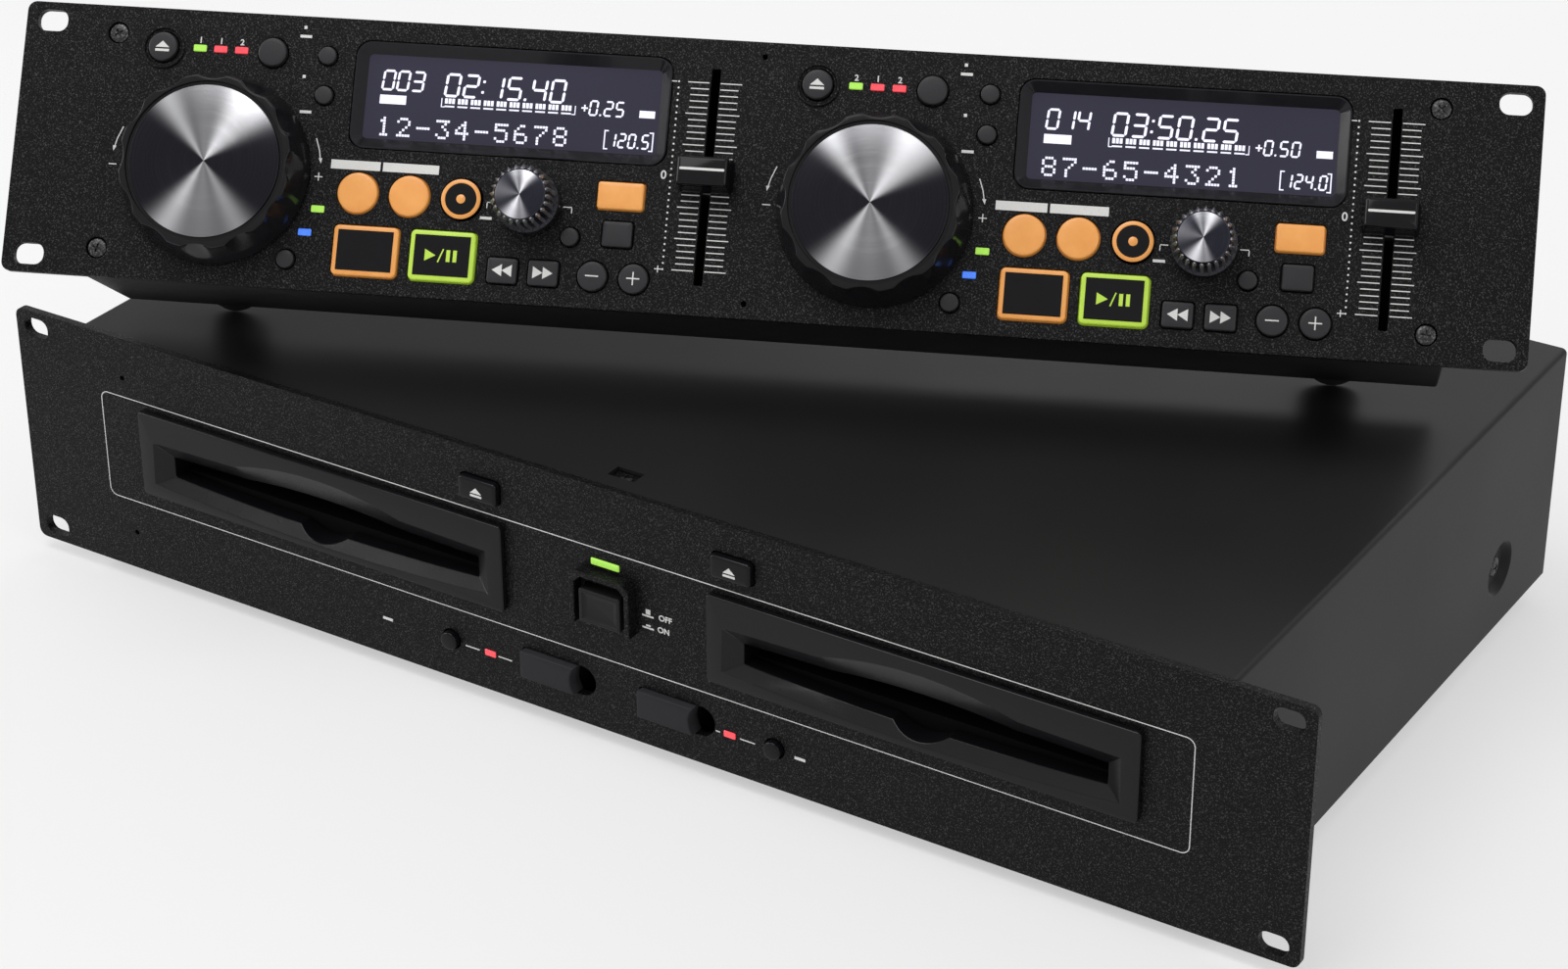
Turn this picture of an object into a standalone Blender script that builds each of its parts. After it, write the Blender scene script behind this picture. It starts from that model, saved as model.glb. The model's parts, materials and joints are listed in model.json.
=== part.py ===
"""Dual disc player for DJ use: a rack player with two slot drives, and the control unit that
leans back on top of it.

Lengths are in metres. Each unit is modelled in the frame of its own front panel: X to the right,
Y back into the unit and Z up the panel, from the middle of the panel's lower front edge.
"""

import math

import bmesh
import bpy
from mathutils import Matrix, Vector

# Clearances
SEAT = 0.0003  # between two pieces that touch
KEY_CLEARANCE = 0.0004  # round a key in its hole
OVERRUN = 0.002  # how far a cutter runs past what it cuts
WELD = 0.000002  # points nearer than this are one point

# Rack panels of both units
PANEL_WIDTH = 0.4826
PANEL_HEIGHT = 0.0882
PANEL_THICKNESS = 0.0030
PANEL_CORNER = 0.0030
EAR_SLOT_LENGTH = 0.0100
EAR_SLOT_HEIGHT = 0.0070
EAR_SLOT_INSET = 0.00875  # middle of a slot, from the panel's end
EAR_SLOT_EDGE = 0.0060  # middle of a slot, from the panel's long edge
SHEET = 0.0012  # folded sheet of both housings
EAR_STEP = 0.0003  # how far the rear of an ear stands out, as the seat on the rack
EAR_SEAT_MARGIN = 0.0005  # of that seat, inside the edges of the ear

# Player housing
PLAYER_EAR = 0.0269
PLAYER_DEPTH = 0.2446
COVER_DROP = 0.0006  # top of the cover below the panel's top edge
PLAYER_LIFT = 0.00245  # underside above the panel's lower edge
FOOT_RADIUS = 0.0100
FOOT_EDGE = 0.0012  # chamfer round a foot
PLAYER_FOOT_HEIGHT = 0.00745
PLAYER_FOOT_INSET = 0.0350
DIMPLE_RADIUS = 0.0095
DIMPLE_DEPTH = 0.0028
DIMPLE_LEVEL = 0.0250  # middle of a dimple above the panel's lower edge
DIMPLE_FRONT_INSET = 0.0420
DIMPLE_REAR_INSET = 0.0424
SCREW_RADIUS = 0.0035
SCREW_HEIGHT = 0.0014
TAB_WINDOW_WIDTH = 0.0100
TAB_WINDOW_DEPTH = 0.0058
TAB_WINDOW_INSET = 0.0063  # window in the cover's top, from the cover's front edge
TAB_THICKNESS = 0.0015
TAB_MARGIN = 0.0020

# Disc slots
DISC_DIAMETER = 0.1200
DISC_SIDE_ROOM = 0.0025
DISC_END_ROOM = 0.0120
SLOT_SHARE = 0.2351  # a slot's middle, of the panel's width
SLOT_LEVEL = 0.0446  # plane of the disc above the panel's lower edge
BEZEL_WIDTH = 0.1496
BEZEL_HEIGHT = 0.0312
BEZEL_RISE = 0.0038  # middle of the bezel above the plane of the disc
BEZEL_PROUD = 0.0025
BEZEL_CORNER = 0.0012
BEZEL_EDGE = 0.0005
BEZEL_SIDE_LAP = 0.0035
BEZEL_LONG_LAP = 0.0021
COLLAR_DEPTH = 0.0065  # from the panel's front to the back of the bezel's collar
MOUTH_MARGIN = 0.0061  # face of the bezel beside the mouth
MOUTH_END_HEIGHT = 0.0157
MOUTH_RISE = 0.0014  # middle of the mouth's ends above the plane of the disc
MOUTH_UPPER_BOW = 0.0035
MOUTH_LOWER_BOW = 0.0032
THROAT_SIDE_ROOM = 0.0030
THROAT_END_HEIGHT = 0.0046
THROAT_UPPER_BOW = 0.0031
THROAT_LOWER_BOW = 0.0022
SCOOP_HALF_WIDTH = 0.0410
SCOOP_HEIGHT = 0.0096
SCOOP_DEPTH = 0.0070
SCOOP_RISE = 0.0054
NOTCH_RADIUS = 0.0140
NOTCH_RISE = 0.0061  # middle of the notch's arc above the plane of the disc

# Disc drives
DRIVE_WIDTH = 0.1460
DRIVE_DEPTH = 0.1750
DRIVE_ABOVE = 0.0200
DRIVE_BELOW = 0.0180
DRIVE_SLOT_HEIGHT = 0.0060
DRIVE_RAIL_WIDTH = 0.0100
DRIVE_RAIL_SHARE = 0.36  # outer side of a rail from the middle, of the drive's width

# Keys of the player
PLAYER_EJECT_WIDTH = 0.0148
PLAYER_EJECT_HEIGHT = 0.0080
PLAYER_EJECT_CORNER = 0.0014
PLAYER_EJECT_PROUD = 0.0025
PLAYER_EJECT_CROWN = 0.0010
PLAYER_EJECT_SHARE = 0.0984  # of the panel's width
PLAYER_EJECT_LEVEL = 0.0745
POWER_WIDTH = 0.0156
POWER_HEIGHT = 0.0120
POWER_CORNER = 0.0006
POWER_PROUD = 0.0042
POWER_LEVEL = 0.0468
GUARD_WIDTH = 0.0225
GUARD_WALL = 0.0018
GUARD_PROUD = 0.0043
GUARD_BOTTOM = 0.0398
GUARD_TOP = 0.0587
GUARD_CHAMFER = 0.0024
STOP_DIAMETER = 0.0064
STOP_PROUD = 0.0024
STOP_SHARE = 0.1285  # of the panel's width
STOP_LEVEL = 0.0147

# Caps over the USB sockets
USB_SHARE = 0.0468  # of the panel's width
USB_LEVEL = 0.0157
USB_CAP_WIDTH = 0.0210
USB_CAP_HEIGHT = 0.0098
USB_CAP_PROUD = 0.0025
USB_CAP_CORNER = 0.0009
USB_CAP_HOLLOW = 0.0016  # how far its right end curves in
USB_WELL = 0.0070  # finger well beside the cap
USB_TONGUE_WIDTH = 0.0119
USB_TONGUE_HEIGHT = 0.0044
USB_TONGUE_LENGTH = 0.0090
USB_SOCKET_WIDTH = 0.0150
USB_SOCKET_DEPTH = 0.0140
USB_SOCKET_WALL = 0.0022

# Sockets on the rear walls
JACK_RADIUS = 0.0041
JACK_LENGTH = 0.0090
JACK_BORE_RADIUS = 0.0016
JACK_BORE_DEPTH = 0.0060
JACK_PITCH = 0.0180
JACK_LEVEL = 0.0440
JACK_PAIR_SHARES = (-0.155, -0.060, 0.030)  # of the player's width
INLET_WIDTH = 0.0310
INLET_HEIGHT = 0.0240
INLET_PROUD = 0.0020
INLET_WALL = 0.0035
INLET_DEPTH = 0.0180
INLET_SHARE = 0.380
LINK_RADIUS = 0.0075
LINK_PROUD = 0.0020
LINK_RECESS_RADIUS = 0.0058
LINK_SHARES = (-0.400, -0.330)
LINK_DEPTH = 0.0080

# Control unit housing, and how it leans on the player
CONTROL_EAR = 0.0248
CASE_DEPTH = 0.0570  # from the panel's front to the rear of the case
CASE_MARGIN = 0.0011  # case inside the panel's long edges
CASE_FOOT_LENGTH = 0.0132
CASE_FOOT_SHARE = 0.846  # spacing of the feet, of the width of the case
CONTROL_RIGHT = 0.0144
CONTROL_BACK = 0.0571
CONTROL_LEAN = 34.63
CONTROL_YAW = 23.38
PIN_HOLE_DIAMETER = 0.0018
PIN_HOLE_EDGE = 0.0048

# Decks of the control unit: their displays' middles, as shares of the panel's width
DECK_SHARES = (-0.1658, 0.2738)
DECK_PITCH = PANEL_WIDTH * (DECK_SHARES[1] - DECK_SHARES[0])

# Places on a deck, as shares of the deck pitch from the display's middle, and of the height
KEY_PLACE_SHARES = {
    "eject_key": (-0.541, 0.856),
    "source_key": (-0.370, 0.857),
    "time_key": (-0.285, 0.857),
    "display_key": (-0.285, 0.712),
    "jog_mode_key": (-0.320, 0.107),
    "loop_in_key": (-0.219, 0.364),
    "loop_out_key": (-0.140, 0.364),
    "reloop_key": (-0.060, 0.364),
    "cue_key": (-0.199, 0.154),
    "play_key": (-0.081, 0.154),
    "back_key": (0.109, 0.253),
    "tempo_lock_key": (0.180, 0.412),
    "tempo_range_key": (0.180, 0.273),
    "search_back_key": (0.012, 0.116),
    "search_on_key": (0.074, 0.116),
    "bend_down_key": (0.148, 0.117),
    "bend_up_key": (0.210, 0.117),
}
DISPLAY_SHARES = (0.0, 0.726)
JOG_SHARES = (-0.441, 0.4195)
SELECTOR_SHARES = (0.0434, 0.366)
FADER_SHARES = (0.3064, 0.500)

# Keys of a deck
KEY_FLANGE = 0.0009  # lap of a key's flange behind the panel
KEY_FLANGE_THICKNESS = 0.0012
KEY_EDGE = 0.0004
EJECT_DIAMETER = 0.0096
EJECT_PROUD = 0.0016
EJECT_RING_DIAMETER = 0.0142
EJECT_RING_WALL = 0.0012
EJECT_RING_PROUD = 0.0007
SOURCE_DIAMETER = 0.0094
SOURCE_PROUD = 0.0019
SMALL_DIAMETER = 0.0058
SMALL_PROUD = 0.0016
LOOP_DIAMETER = 0.0130
LOOP_PROUD = 0.0012
BEND_DIAMETER = 0.0095
BEND_PROUD = 0.0014
TRANSPORT_WIDTH = 0.0210
TRANSPORT_HEIGHT = 0.0160
TRANSPORT_CORNER = 0.0016
TRANSPORT_PROUD = 0.0012
LOCK_WIDTH = 0.0147
LOCK_HEIGHT = 0.0086
LOCK_PROUD = 0.0012
SQUARE_WIDTH = 0.0096
SQUARE_HEIGHT = 0.0081
SQUARE_CORNER = 0.0009
SQUARE_PROUD = 0.0014

# Display frame and window
DISPLAY_WIDTH = 0.1023
DISPLAY_HEIGHT = 0.0345
DISPLAY_CORNER = 0.0050
DISPLAY_LIP = 0.0003
DISPLAY_LIP_WIDTH = 0.0006
DISPLAY_SLOPE = 0.0030
DISPLAY_SINK = 0.0026
DISPLAY_DEPTH = 0.0080
DISPLAY_LAP = 0.0020

# Jog wheel
JOG_RADIUS = 0.0310
JOG_CREST_RADIUS = 0.0280
JOG_HEIGHT = 0.0142
JOG_GAP = 0.0010
JOG_EDGE = 0.0006
JOG_SCOOPS = 12
JOG_STEPS_PER_SCOOP = 5
JOG_SCOOP_DEPTH = 0.0016
JOG_SCOOP_SHARE = 2 / 3  # of the pitch of the scoops
JOG_SCOOP_FOOT_SHARE = 0.34  # of the height, where the scoops run out
JOG_LAND = 0.0023
JOG_GROOVE_WIDTH = 0.0012
JOG_GROOVE_DEPTH = 0.0009
JOG_HUB_RADIUS = 0.0060
JOG_COLLAR_RADIUS = 0.0080
JOG_COLLAR_THICKNESS = 0.0020
SPINDLE_CLEARANCE = 0.0004

# Selector
KNOB_TEETH = 24
KNOB_RADIUS = 0.0104
KNOB_FACE_RADIUS = 0.0079
KNOB_HEIGHT = 0.0163
KNOB_GAP = 0.0016
KNOB_SKIRT = 0.0034
KNOB_CHAMFER = 0.0019
KNOB_TOOTH_DEPTH = 0.0009
KNOB_CROWN = 0.0040
SHAFT_RADIUS = 0.0030
SHAFT_COLLAR_RADIUS = 0.0048
SHAFT_COLLAR_THICKNESS = 0.0015
SHAFT_TAIL = 0.0060

# Tempo fader
FADER_SLOT_WIDTH = 0.0028
FADER_TRAVEL = 0.0600
FADER_LEVER_WIDTH = 0.0016
FADER_LEVER_HEIGHT = 0.0060
FADER_END_ROOM = 0.0015
FADER_CAP_WIDTH = 0.0178
FADER_CAP_HEIGHT = 0.0108
FADER_CAP_CORNER = 0.0014
FADER_CAP_PROUD = 0.0115
FADER_CAP_GAP = 0.0009
FADER_CAP_TAPER = 0.0009
FADER_CAP_EDGE = 0.0008
FADER_CARRIAGE_WIDTH = 0.0080
FADER_CARRIAGE_HEIGHT = 0.0100
FADER_CARRIAGE_DEPTH = 0.0060

# Facets
ROUND_STEPS = 14
FOOT_STEPS = 12
SMALL_ROUND_STEPS = 10
NOTCH_STEPS = 12
SPHERE_STEPS = 20
CORNER_STEPS = 2
KEY_CORNER_STEPS = 1
MOUTH_STEPS = 10
USB_CURVE_STEPS = 6
WELL_STEPS = 10
SHARP_DEGREES = 30

# Places worked out from the sizes above
PLAYER_FRONT = PANEL_THICKNESS + SEAT
PLAYER_REAR = PLAYER_FRONT + PLAYER_DEPTH
PLAYER_TOP = PANEL_HEIGHT - COVER_DROP
COVER_HALF_WIDTH = PANEL_WIDTH / 2 - PLAYER_EAR
CHASSIS_HALF_WIDTH = COVER_HALF_WIDTH - SHEET - SEAT
CHASSIS_TOP = PLAYER_TOP - SHEET - SEAT
FLOOR = PLAYER_LIFT + SHEET
CASE_HALF_WIDTH = PANEL_WIDTH / 2 - CONTROL_EAR
KEY_SEAT = PANEL_THICKNESS + SEAT  # front of a key's flange, behind the panel
SIDES = (-1, 1)
FACING_SHARE = 0.5  # least cosine between two directions that face the same way

FINISHES = {
    "panel_paint": ((0.022, 0.022, 0.024), 0.55, 0.3),
    "cover_paint": ((0.018, 0.018, 0.018), 0.40, 0.2),
    "chassis_steel": ((0.030, 0.030, 0.030), 0.50, 0.4),
    "drive_black": ((0.025, 0.025, 0.026), 0.50, 0.0),
    "bezel_plastic": ((0.020, 0.020, 0.022), 0.40, 0.0),
    "key_plastic": ((0.045, 0.045, 0.047), 0.45, 0.0),
    "gloss_black": ((0.010, 0.010, 0.011), 0.15, 0.0),
    "cap_rubber": ((0.040, 0.040, 0.044), 0.60, 0.0),
    "amber_key": ((0.900, 0.380, 0.100), 0.35, 0.0),
    "green_key": ((0.450, 0.700, 0.060), 0.35, 0.0),
    "display_glass": ((0.090, 0.085, 0.140), 0.12, 0.0),
    "jog_plastic": ((0.018, 0.018, 0.020), 0.20, 0.0),
    "shaft_steel": ((0.550, 0.550, 0.550), 0.30, 1.0),
    "knob_plastic": ((0.030, 0.030, 0.036), 0.30, 0.4),
}


def clear_scene():
    for item in list(bpy.data.objects):
        bpy.data.objects.remove(item, do_unlink=True)


def new_collection(name, helpers=False):
    group = bpy.data.collections.new(name)
    bpy.context.scene.collection.children.link(group)
    group.hide_render = helpers
    return group


clear_scene()
PARTS = new_collection("dual_disc_player")
HELPERS = new_collection("cutters_and_guides", helpers=True)


def finish(name):
    """The named finish as a material, made the first time that it is asked for."""
    material = bpy.data.materials.get(name)
    if material:
        return material
    colour, roughness, metallic = FINISHES[name]
    material = bpy.data.materials.new(name)
    material.use_nodes = True
    shader = material.node_tree.nodes["Principled BSDF"]
    shader.inputs["Base Color"].default_value = (*colour, 1.0)
    shader.inputs["Roughness"].default_value = roughness
    shader.inputs["Metallic"].default_value = metallic
    material.diffuse_color = (*colour, 1.0)
    return material


# Outlines, as (x, z) points in the plane of a panel, anticlockwise seen from the front


def arc(radius, start, end, steps, x=0.0, z=0.0):
    turn = (end - start) / steps
    return [
        (x + radius * math.cos(start + turn * step), z + radius * math.sin(start + turn * step))
        for step in range(steps + 1)
    ]


def circle(diameter, steps=ROUND_STEPS, turn=0.0):
    return arc(diameter / 2, turn, turn + math.tau, steps)[:-1]


def rounded(width, height, corner, steps=CORNER_STEPS):
    """A rectangle about the origin, with rounded corners."""
    across, up = width / 2 - corner, height / 2 - corner
    outline = []
    for quarter, (x, z) in enumerate(((across, up), (-across, up), (-across, -up), (across, -up))):
        start = quarter * math.pi / 2
        outline += arc(corner, start, start + math.pi / 2, steps, x, z)
    return outline


def grown(width, height, corner, margin, steps=CORNER_STEPS):
    """The rounded rectangle, wider by a margin all round, or narrower where it is negative."""
    smallest = min(corner, KEY_EDGE / 2)
    corner = max(corner + margin, smallest)
    return rounded(width + 2 * margin, height + 2 * margin, corner, steps)


def moved(outline, x, z):
    return [(px + x, pz + z) for px, pz in outline]


# Solids


def mesh_object(name, mesh):
    item = bpy.data.objects.new(name, mesh)
    PARTS.objects.link(item)
    return item


def helper(item, frame, place=(0.0, 0.0, 0.0)):
    """Keeps an object as a cutter or guide in the given frame."""
    for group in list(item.users_collection):
        group.objects.unlink(item)
    HELPERS.objects.link(item)
    item.hide_render = True
    item.display_type = "WIRE"
    item.parent = frame
    item.location = place
    return item


def evaluated_mesh(item, name):
    """The object's mesh with its modifiers applied; the object is removed."""
    bpy.context.view_layer.update()
    graph = bpy.context.evaluated_depsgraph_get()
    mesh = bpy.data.meshes.new_from_object(item.evaluated_get(graph))
    mesh.name = name
    bpy.data.objects.remove(item, do_unlink=True)
    return mesh


def cleaned(mesh):
    """Welds the seams of a mesh, and turns its faces outwards."""
    work = bmesh.new()
    work.from_mesh(mesh)
    bmesh.ops.remove_doubles(work, verts=work.verts, dist=WELD)
    bmesh.ops.recalc_face_normals(work, faces=work.faces)
    work.to_mesh(mesh)
    work.free()
    return mesh


def stack(name, levels):
    """A loft through outlines of as many points each, given with their depth, from back to front."""
    work = bmesh.new()
    rings = [[work.verts.new((x, depth, z)) for x, z in outline] for outline, depth in levels]
    for back, front in zip(rings, rings[1:]):
        for index, corner in enumerate(back):
            ahead = (index + 1) % len(back)
            work.faces.new((corner, back[ahead], front[ahead], front[index]))
    work.faces.new(rings[0])
    work.faces.new(rings[-1])
    bmesh.ops.recalc_face_normals(work, faces=work.faces)
    mesh = bpy.data.meshes.new(name)
    work.to_mesh(mesh)
    work.free()
    return mesh


def prisms(name, outlines, front, back):
    """One mesh that holds a straight prism on each outline, between two depths."""
    work = bmesh.new()
    for outline in outlines:
        work.from_mesh(stack(name, [(outline, back), (outline, front)]))
    mesh = bpy.data.meshes.new(name)
    work.to_mesh(mesh)
    work.free()
    return mesh


def turned(name, profile, steps=ROUND_STEPS):
    """A profile of (radius, depth) points, from the back to the front, turned about Y."""
    mesh = bpy.data.meshes.new(name + "_profile")
    edges = [(index, index + 1) for index in range(len(profile) - 1)]
    mesh.from_pydata([(radius, depth, 0.0) for radius, depth in profile], edges, [])
    item = mesh_object(name, mesh)
    screw = item.modifiers.new("turn", "SCREW")
    screw.axis = "Y"
    screw.steps = steps
    screw.render_steps = steps
    screw.use_merge_vertices = True
    screw.merge_threshold = WELD
    return cleaned(evaluated_mesh(item, name))


def box(name, low, high):
    work = bmesh.new()
    bmesh.ops.create_cube(work, size=1.0)
    size = Vector(high) - Vector(low)
    middle = (Vector(high) + Vector(low)) / 2
    bmesh.ops.scale(work, vec=size, verts=work.verts)
    bmesh.ops.translate(work, vec=middle, verts=work.verts)
    mesh = bpy.data.meshes.new(name)
    work.to_mesh(mesh)
    work.free()
    return mesh


def open_box(name, low, high, open_sides):
    """A folded sheet: a box without the named sides, thickened inwards."""
    mesh = box(name, low, high)
    work = bmesh.new()
    work.from_mesh(mesh)
    work.normal_update()
    gone = [face for face in work.faces if any(face.normal.dot(side) > FACING_SHARE for side in open_sides)]
    bmesh.ops.delete(work, geom=gone, context="FACES")
    work.to_mesh(mesh)
    work.free()
    item = mesh_object(name, mesh)
    sheet = item.modifiers.new("sheet", "SOLIDIFY")
    sheet.thickness = SHEET
    sheet.offset = -1.0
    sheet.use_even_offset = True
    return cleaned(evaluated_mesh(item, name))


def shape(item, operation, mesh, place=(0.0, 0.0, 0.0), turn=None):
    """Joins a mesh to an object, or cuts it out, with a live Boolean; returns the helper."""
    tool = helper(bpy.data.objects.new(mesh.name, mesh), item.parent, place)
    if turn:
        tool.rotation_euler = turn
    boolean = item.modifiers.new(mesh.name, "BOOLEAN")
    boolean.operation = operation
    boolean.solver = "EXACT"
    boolean.object = tool
    return tool


def add_part(name, mesh, finish_name, frame, place=(0.0, 0.0, 0.0)):
    if not mesh.materials:
        mesh.materials.append(finish(finish_name))
    mesh.shade_smooth()
    mesh.set_sharp_from_angle(angle=math.radians(SHARP_DEGREES))
    part = mesh_object(name, mesh)
    part.parent = frame
    part.location = place
    return part


def unit_frame(name, parent=None):
    frame = bpy.data.objects.new(name, None)
    PARTS.objects.link(frame)
    frame.parent = parent
    return frame


# Keys: a cap through the panel, held by a flange behind it


def round_key(name, diameter, proud, steps=ROUND_STEPS):
    radius = diameter / 2
    back = KEY_SEAT + KEY_FLANGE_THICKNESS
    flange = radius + KEY_CLEARANCE + KEY_FLANGE
    profile = [
        (0.0, back),
        (flange, back),
        (flange, KEY_SEAT),
        (radius, KEY_SEAT),
        (radius, -proud + KEY_EDGE),
        (radius - KEY_EDGE, -proud),
        (0.0, -proud),
    ]
    return turned(name, profile, steps)


def square_key(name, width, height, corner, proud, crown=KEY_EDGE):
    back = KEY_SEAT + KEY_FLANGE_THICKNESS

    def outline(margin):
        return grown(width, height, corner, margin, KEY_CORNER_STEPS)

    lap = KEY_CLEARANCE + KEY_FLANGE
    levels = [
        (outline(lap), back),
        (outline(lap), KEY_SEAT),
        (outline(0.0), KEY_SEAT),
        (outline(0.0), -proud + crown),
        (outline(-crown), -proud),
    ]
    return stack(name, levels)


def key_hole(width, height, corner):
    return grown(width, height, corner, KEY_CLEARANCE, KEY_CORNER_STEPS)


def ear_slots():
    across = PANEL_WIDTH / 2 - EAR_SLOT_INSET
    slot = rounded(EAR_SLOT_LENGTH, EAR_SLOT_HEIGHT, EAR_SLOT_HEIGHT / 2 - KEY_EDGE)
    levels = (EAR_SLOT_EDGE, PANEL_HEIGHT - EAR_SLOT_EDGE)
    return [moved(slot, side * across, level) for side in SIDES for level in levels]


def panel_edge():
    edge = rounded(PANEL_WIDTH, PANEL_HEIGHT, PANEL_CORNER)
    return moved(edge, 0.0, PANEL_HEIGHT / 2)


def rack_panel(name, ear, holes, frame):
    """A panel with its holes, and with a seat for the rack on the rear of each ear."""
    slab = stack(name, [(panel_edge(), PANEL_THICKNESS), (panel_edge(), 0.0)])
    panel = add_part(name, slab, "panel_paint", frame)
    width = ear - 2 * EAR_SEAT_MARGIN - SHEET
    seat = rounded(width, PANEL_HEIGHT - 2 * EAR_SEAT_MARGIN, PANEL_CORNER)
    across = PANEL_WIDTH / 2 - EAR_SEAT_MARGIN - width / 2
    seats = [moved(seat, side * across, PANEL_HEIGHT / 2) for side in SIDES]
    back = PANEL_THICKNESS + EAR_STEP
    shape(panel, "UNION", prisms(name + "_seats", seats, PANEL_THICKNESS / 2, back))
    cutters = [*holes, *ear_slots()]
    shape(panel, "DIFFERENCE", prisms(name + "_holes", cutters, -OVERRUN, back + OVERRUN))
    return panel


# Player


def slot_bezel(name, frame, x):
    """A moulded mouth with bowed lips, a finger scoop above and a round notch below."""
    opening_width = BEZEL_WIDTH - 2 * BEZEL_SIDE_LAP
    opening_height = BEZEL_HEIGHT - 2 * BEZEL_LONG_LAP
    collar = moved(
        grown(opening_width, opening_height, BEZEL_CORNER, -SEAT), 0.0, BEZEL_RISE
    )
    rim = moved(grown(BEZEL_WIDTH, BEZEL_HEIGHT, BEZEL_CORNER, 0.0), 0.0, BEZEL_RISE)
    face = moved(grown(BEZEL_WIDTH, BEZEL_HEIGHT, BEZEL_CORNER, -BEZEL_EDGE), 0.0, BEZEL_RISE)
    levels = [
        (collar, COLLAR_DEPTH),
        (collar, -SEAT),
        (rim, -SEAT),
        (rim, -BEZEL_PROUD + BEZEL_EDGE),
        (face, -BEZEL_PROUD),
    ]
    bezel = add_part(name, stack(name, levels), "bezel_plastic", frame, (x, 0.0, SLOT_LEVEL))
    place = (x, 0.0, SLOT_LEVEL)

    mouth_width = BEZEL_WIDTH - 2 * MOUTH_MARGIN
    throat_width = DISC_DIAMETER + 2 * THROAT_SIDE_ROOM
    mouth = bowed_slot(mouth_width, MOUTH_END_HEIGHT, MOUTH_RISE, MOUTH_UPPER_BOW, MOUTH_LOWER_BOW)
    throat = bowed_slot(throat_width, THROAT_END_HEIGHT, 0.0, THROAT_UPPER_BOW, THROAT_LOWER_BOW)
    funnel = [
        (throat, COLLAR_DEPTH + OVERRUN),
        (throat, 0.0),
        (mouth, -BEZEL_PROUD),
        (mouth, -BEZEL_PROUD - OVERRUN),
    ]
    shape(bezel, "DIFFERENCE", stack(name + "_funnel", funnel), place)

    scoop = bmesh.new()
    bmesh.ops.create_uvsphere(
        scoop, u_segments=SPHERE_STEPS, v_segments=SPHERE_STEPS // 2, radius=1.0
    )
    bmesh.ops.scale(scoop, vec=(SCOOP_HALF_WIDTH, SCOOP_DEPTH, SCOOP_HEIGHT), verts=scoop.verts)
    scoop_mesh = bpy.data.meshes.new(name + "_scoop")
    scoop.to_mesh(scoop_mesh)
    scoop.free()
    scoop_place = (x, -BEZEL_PROUD, SLOT_LEVEL + SCOOP_RISE)
    shape(bezel, "DIFFERENCE", scoop_mesh, scoop_place)

    half_turn = math.acos(NOTCH_RISE / NOTCH_RADIUS)
    downwards = -math.pi / 2
    notch = arc(
        NOTCH_RADIUS, downwards - half_turn, downwards + half_turn, NOTCH_STEPS, 0.0, NOTCH_RISE
    )
    notch_levels = [(notch, COLLAR_DEPTH + OVERRUN), (notch, -BEZEL_PROUD - OVERRUN)]
    shape(bezel, "DIFFERENCE", stack(name + "_notch", notch_levels), place)
    return bezel


def spread(steps):
    """Even shares of a half width, from one end to the other."""
    half = steps / 2
    return [(step - half) / half for step in range(steps + 1)]


def bowed_slot(width, end_height, rise, upper_bow, lower_bow):
    """A slot outline whose long edges bow outwards, about the plane of the disc."""
    half = width / 2
    shares = spread(MOUTH_STEPS)
    lower = [(half * t, rise - end_height / 2 - lower_bow * (1 - t * t)) for t in shares]
    upper = [(half * t, rise + end_height / 2 + upper_bow * (1 - t * t)) for t in shares]
    return lower + upper[::-1]


def disc_drive(name, frame, x):
    """A slot-in drive on two rails, with the space that a disc takes inside."""
    front = COLLAR_DEPTH + SEAT
    half = DRIVE_WIDTH / 2
    low = (-half, front, -DRIVE_BELOW)
    high = (half, front + DRIVE_DEPTH, DRIVE_ABOVE)
    place = (x, 0.0, SLOT_LEVEL)
    drive = add_part(name, box(name, low, high), "drive_black", frame, place)
    foot = FLOOR + SEAT - SLOT_LEVEL
    for side in SIDES:
        outer = side * DRIVE_RAIL_SHARE * DRIVE_WIDTH
        inner = outer - side * DRIVE_RAIL_WIDTH
        rail_low = (min(outer, inner), front, foot)
        rail_high = (max(outer, inner), front + DRIVE_DEPTH, -DRIVE_BELOW + SHEET)
        shape(drive, "UNION", box(name + "_rail", rail_low, rail_high), place)
    room = DISC_DIAMETER / 2 + DISC_SIDE_ROOM
    slot_low = (-room, front - OVERRUN, -DRIVE_SLOT_HEIGHT / 2)
    slot_high = (room, front + DISC_DIAMETER + DISC_END_ROOM, DRIVE_SLOT_HEIGHT / 2)
    shape(drive, "DIFFERENCE", box(name + "_slot", slot_low, slot_high), place)
    return drive


def usb_cap_outline(margin=0.0):
    """A rectangle whose right end curves in, for the finger."""
    half, up = USB_CAP_WIDTH / 2 + margin, USB_CAP_HEIGHT / 2 + margin
    corner = max(USB_CAP_CORNER + margin, KEY_EDGE / 2)
    shares = spread(USB_CURVE_STEPS)
    ends = [(half - USB_CAP_HOLLOW * (1 - t * t), up * t) for t in shares]
    upper = arc(corner, math.pi / 2, math.pi, CORNER_STEPS, -half + corner, up - corner)
    lower = arc(corner, math.pi, 1.5 * math.pi, CORNER_STEPS, -half + corner, -up + corner)
    return ends + upper + lower


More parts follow.
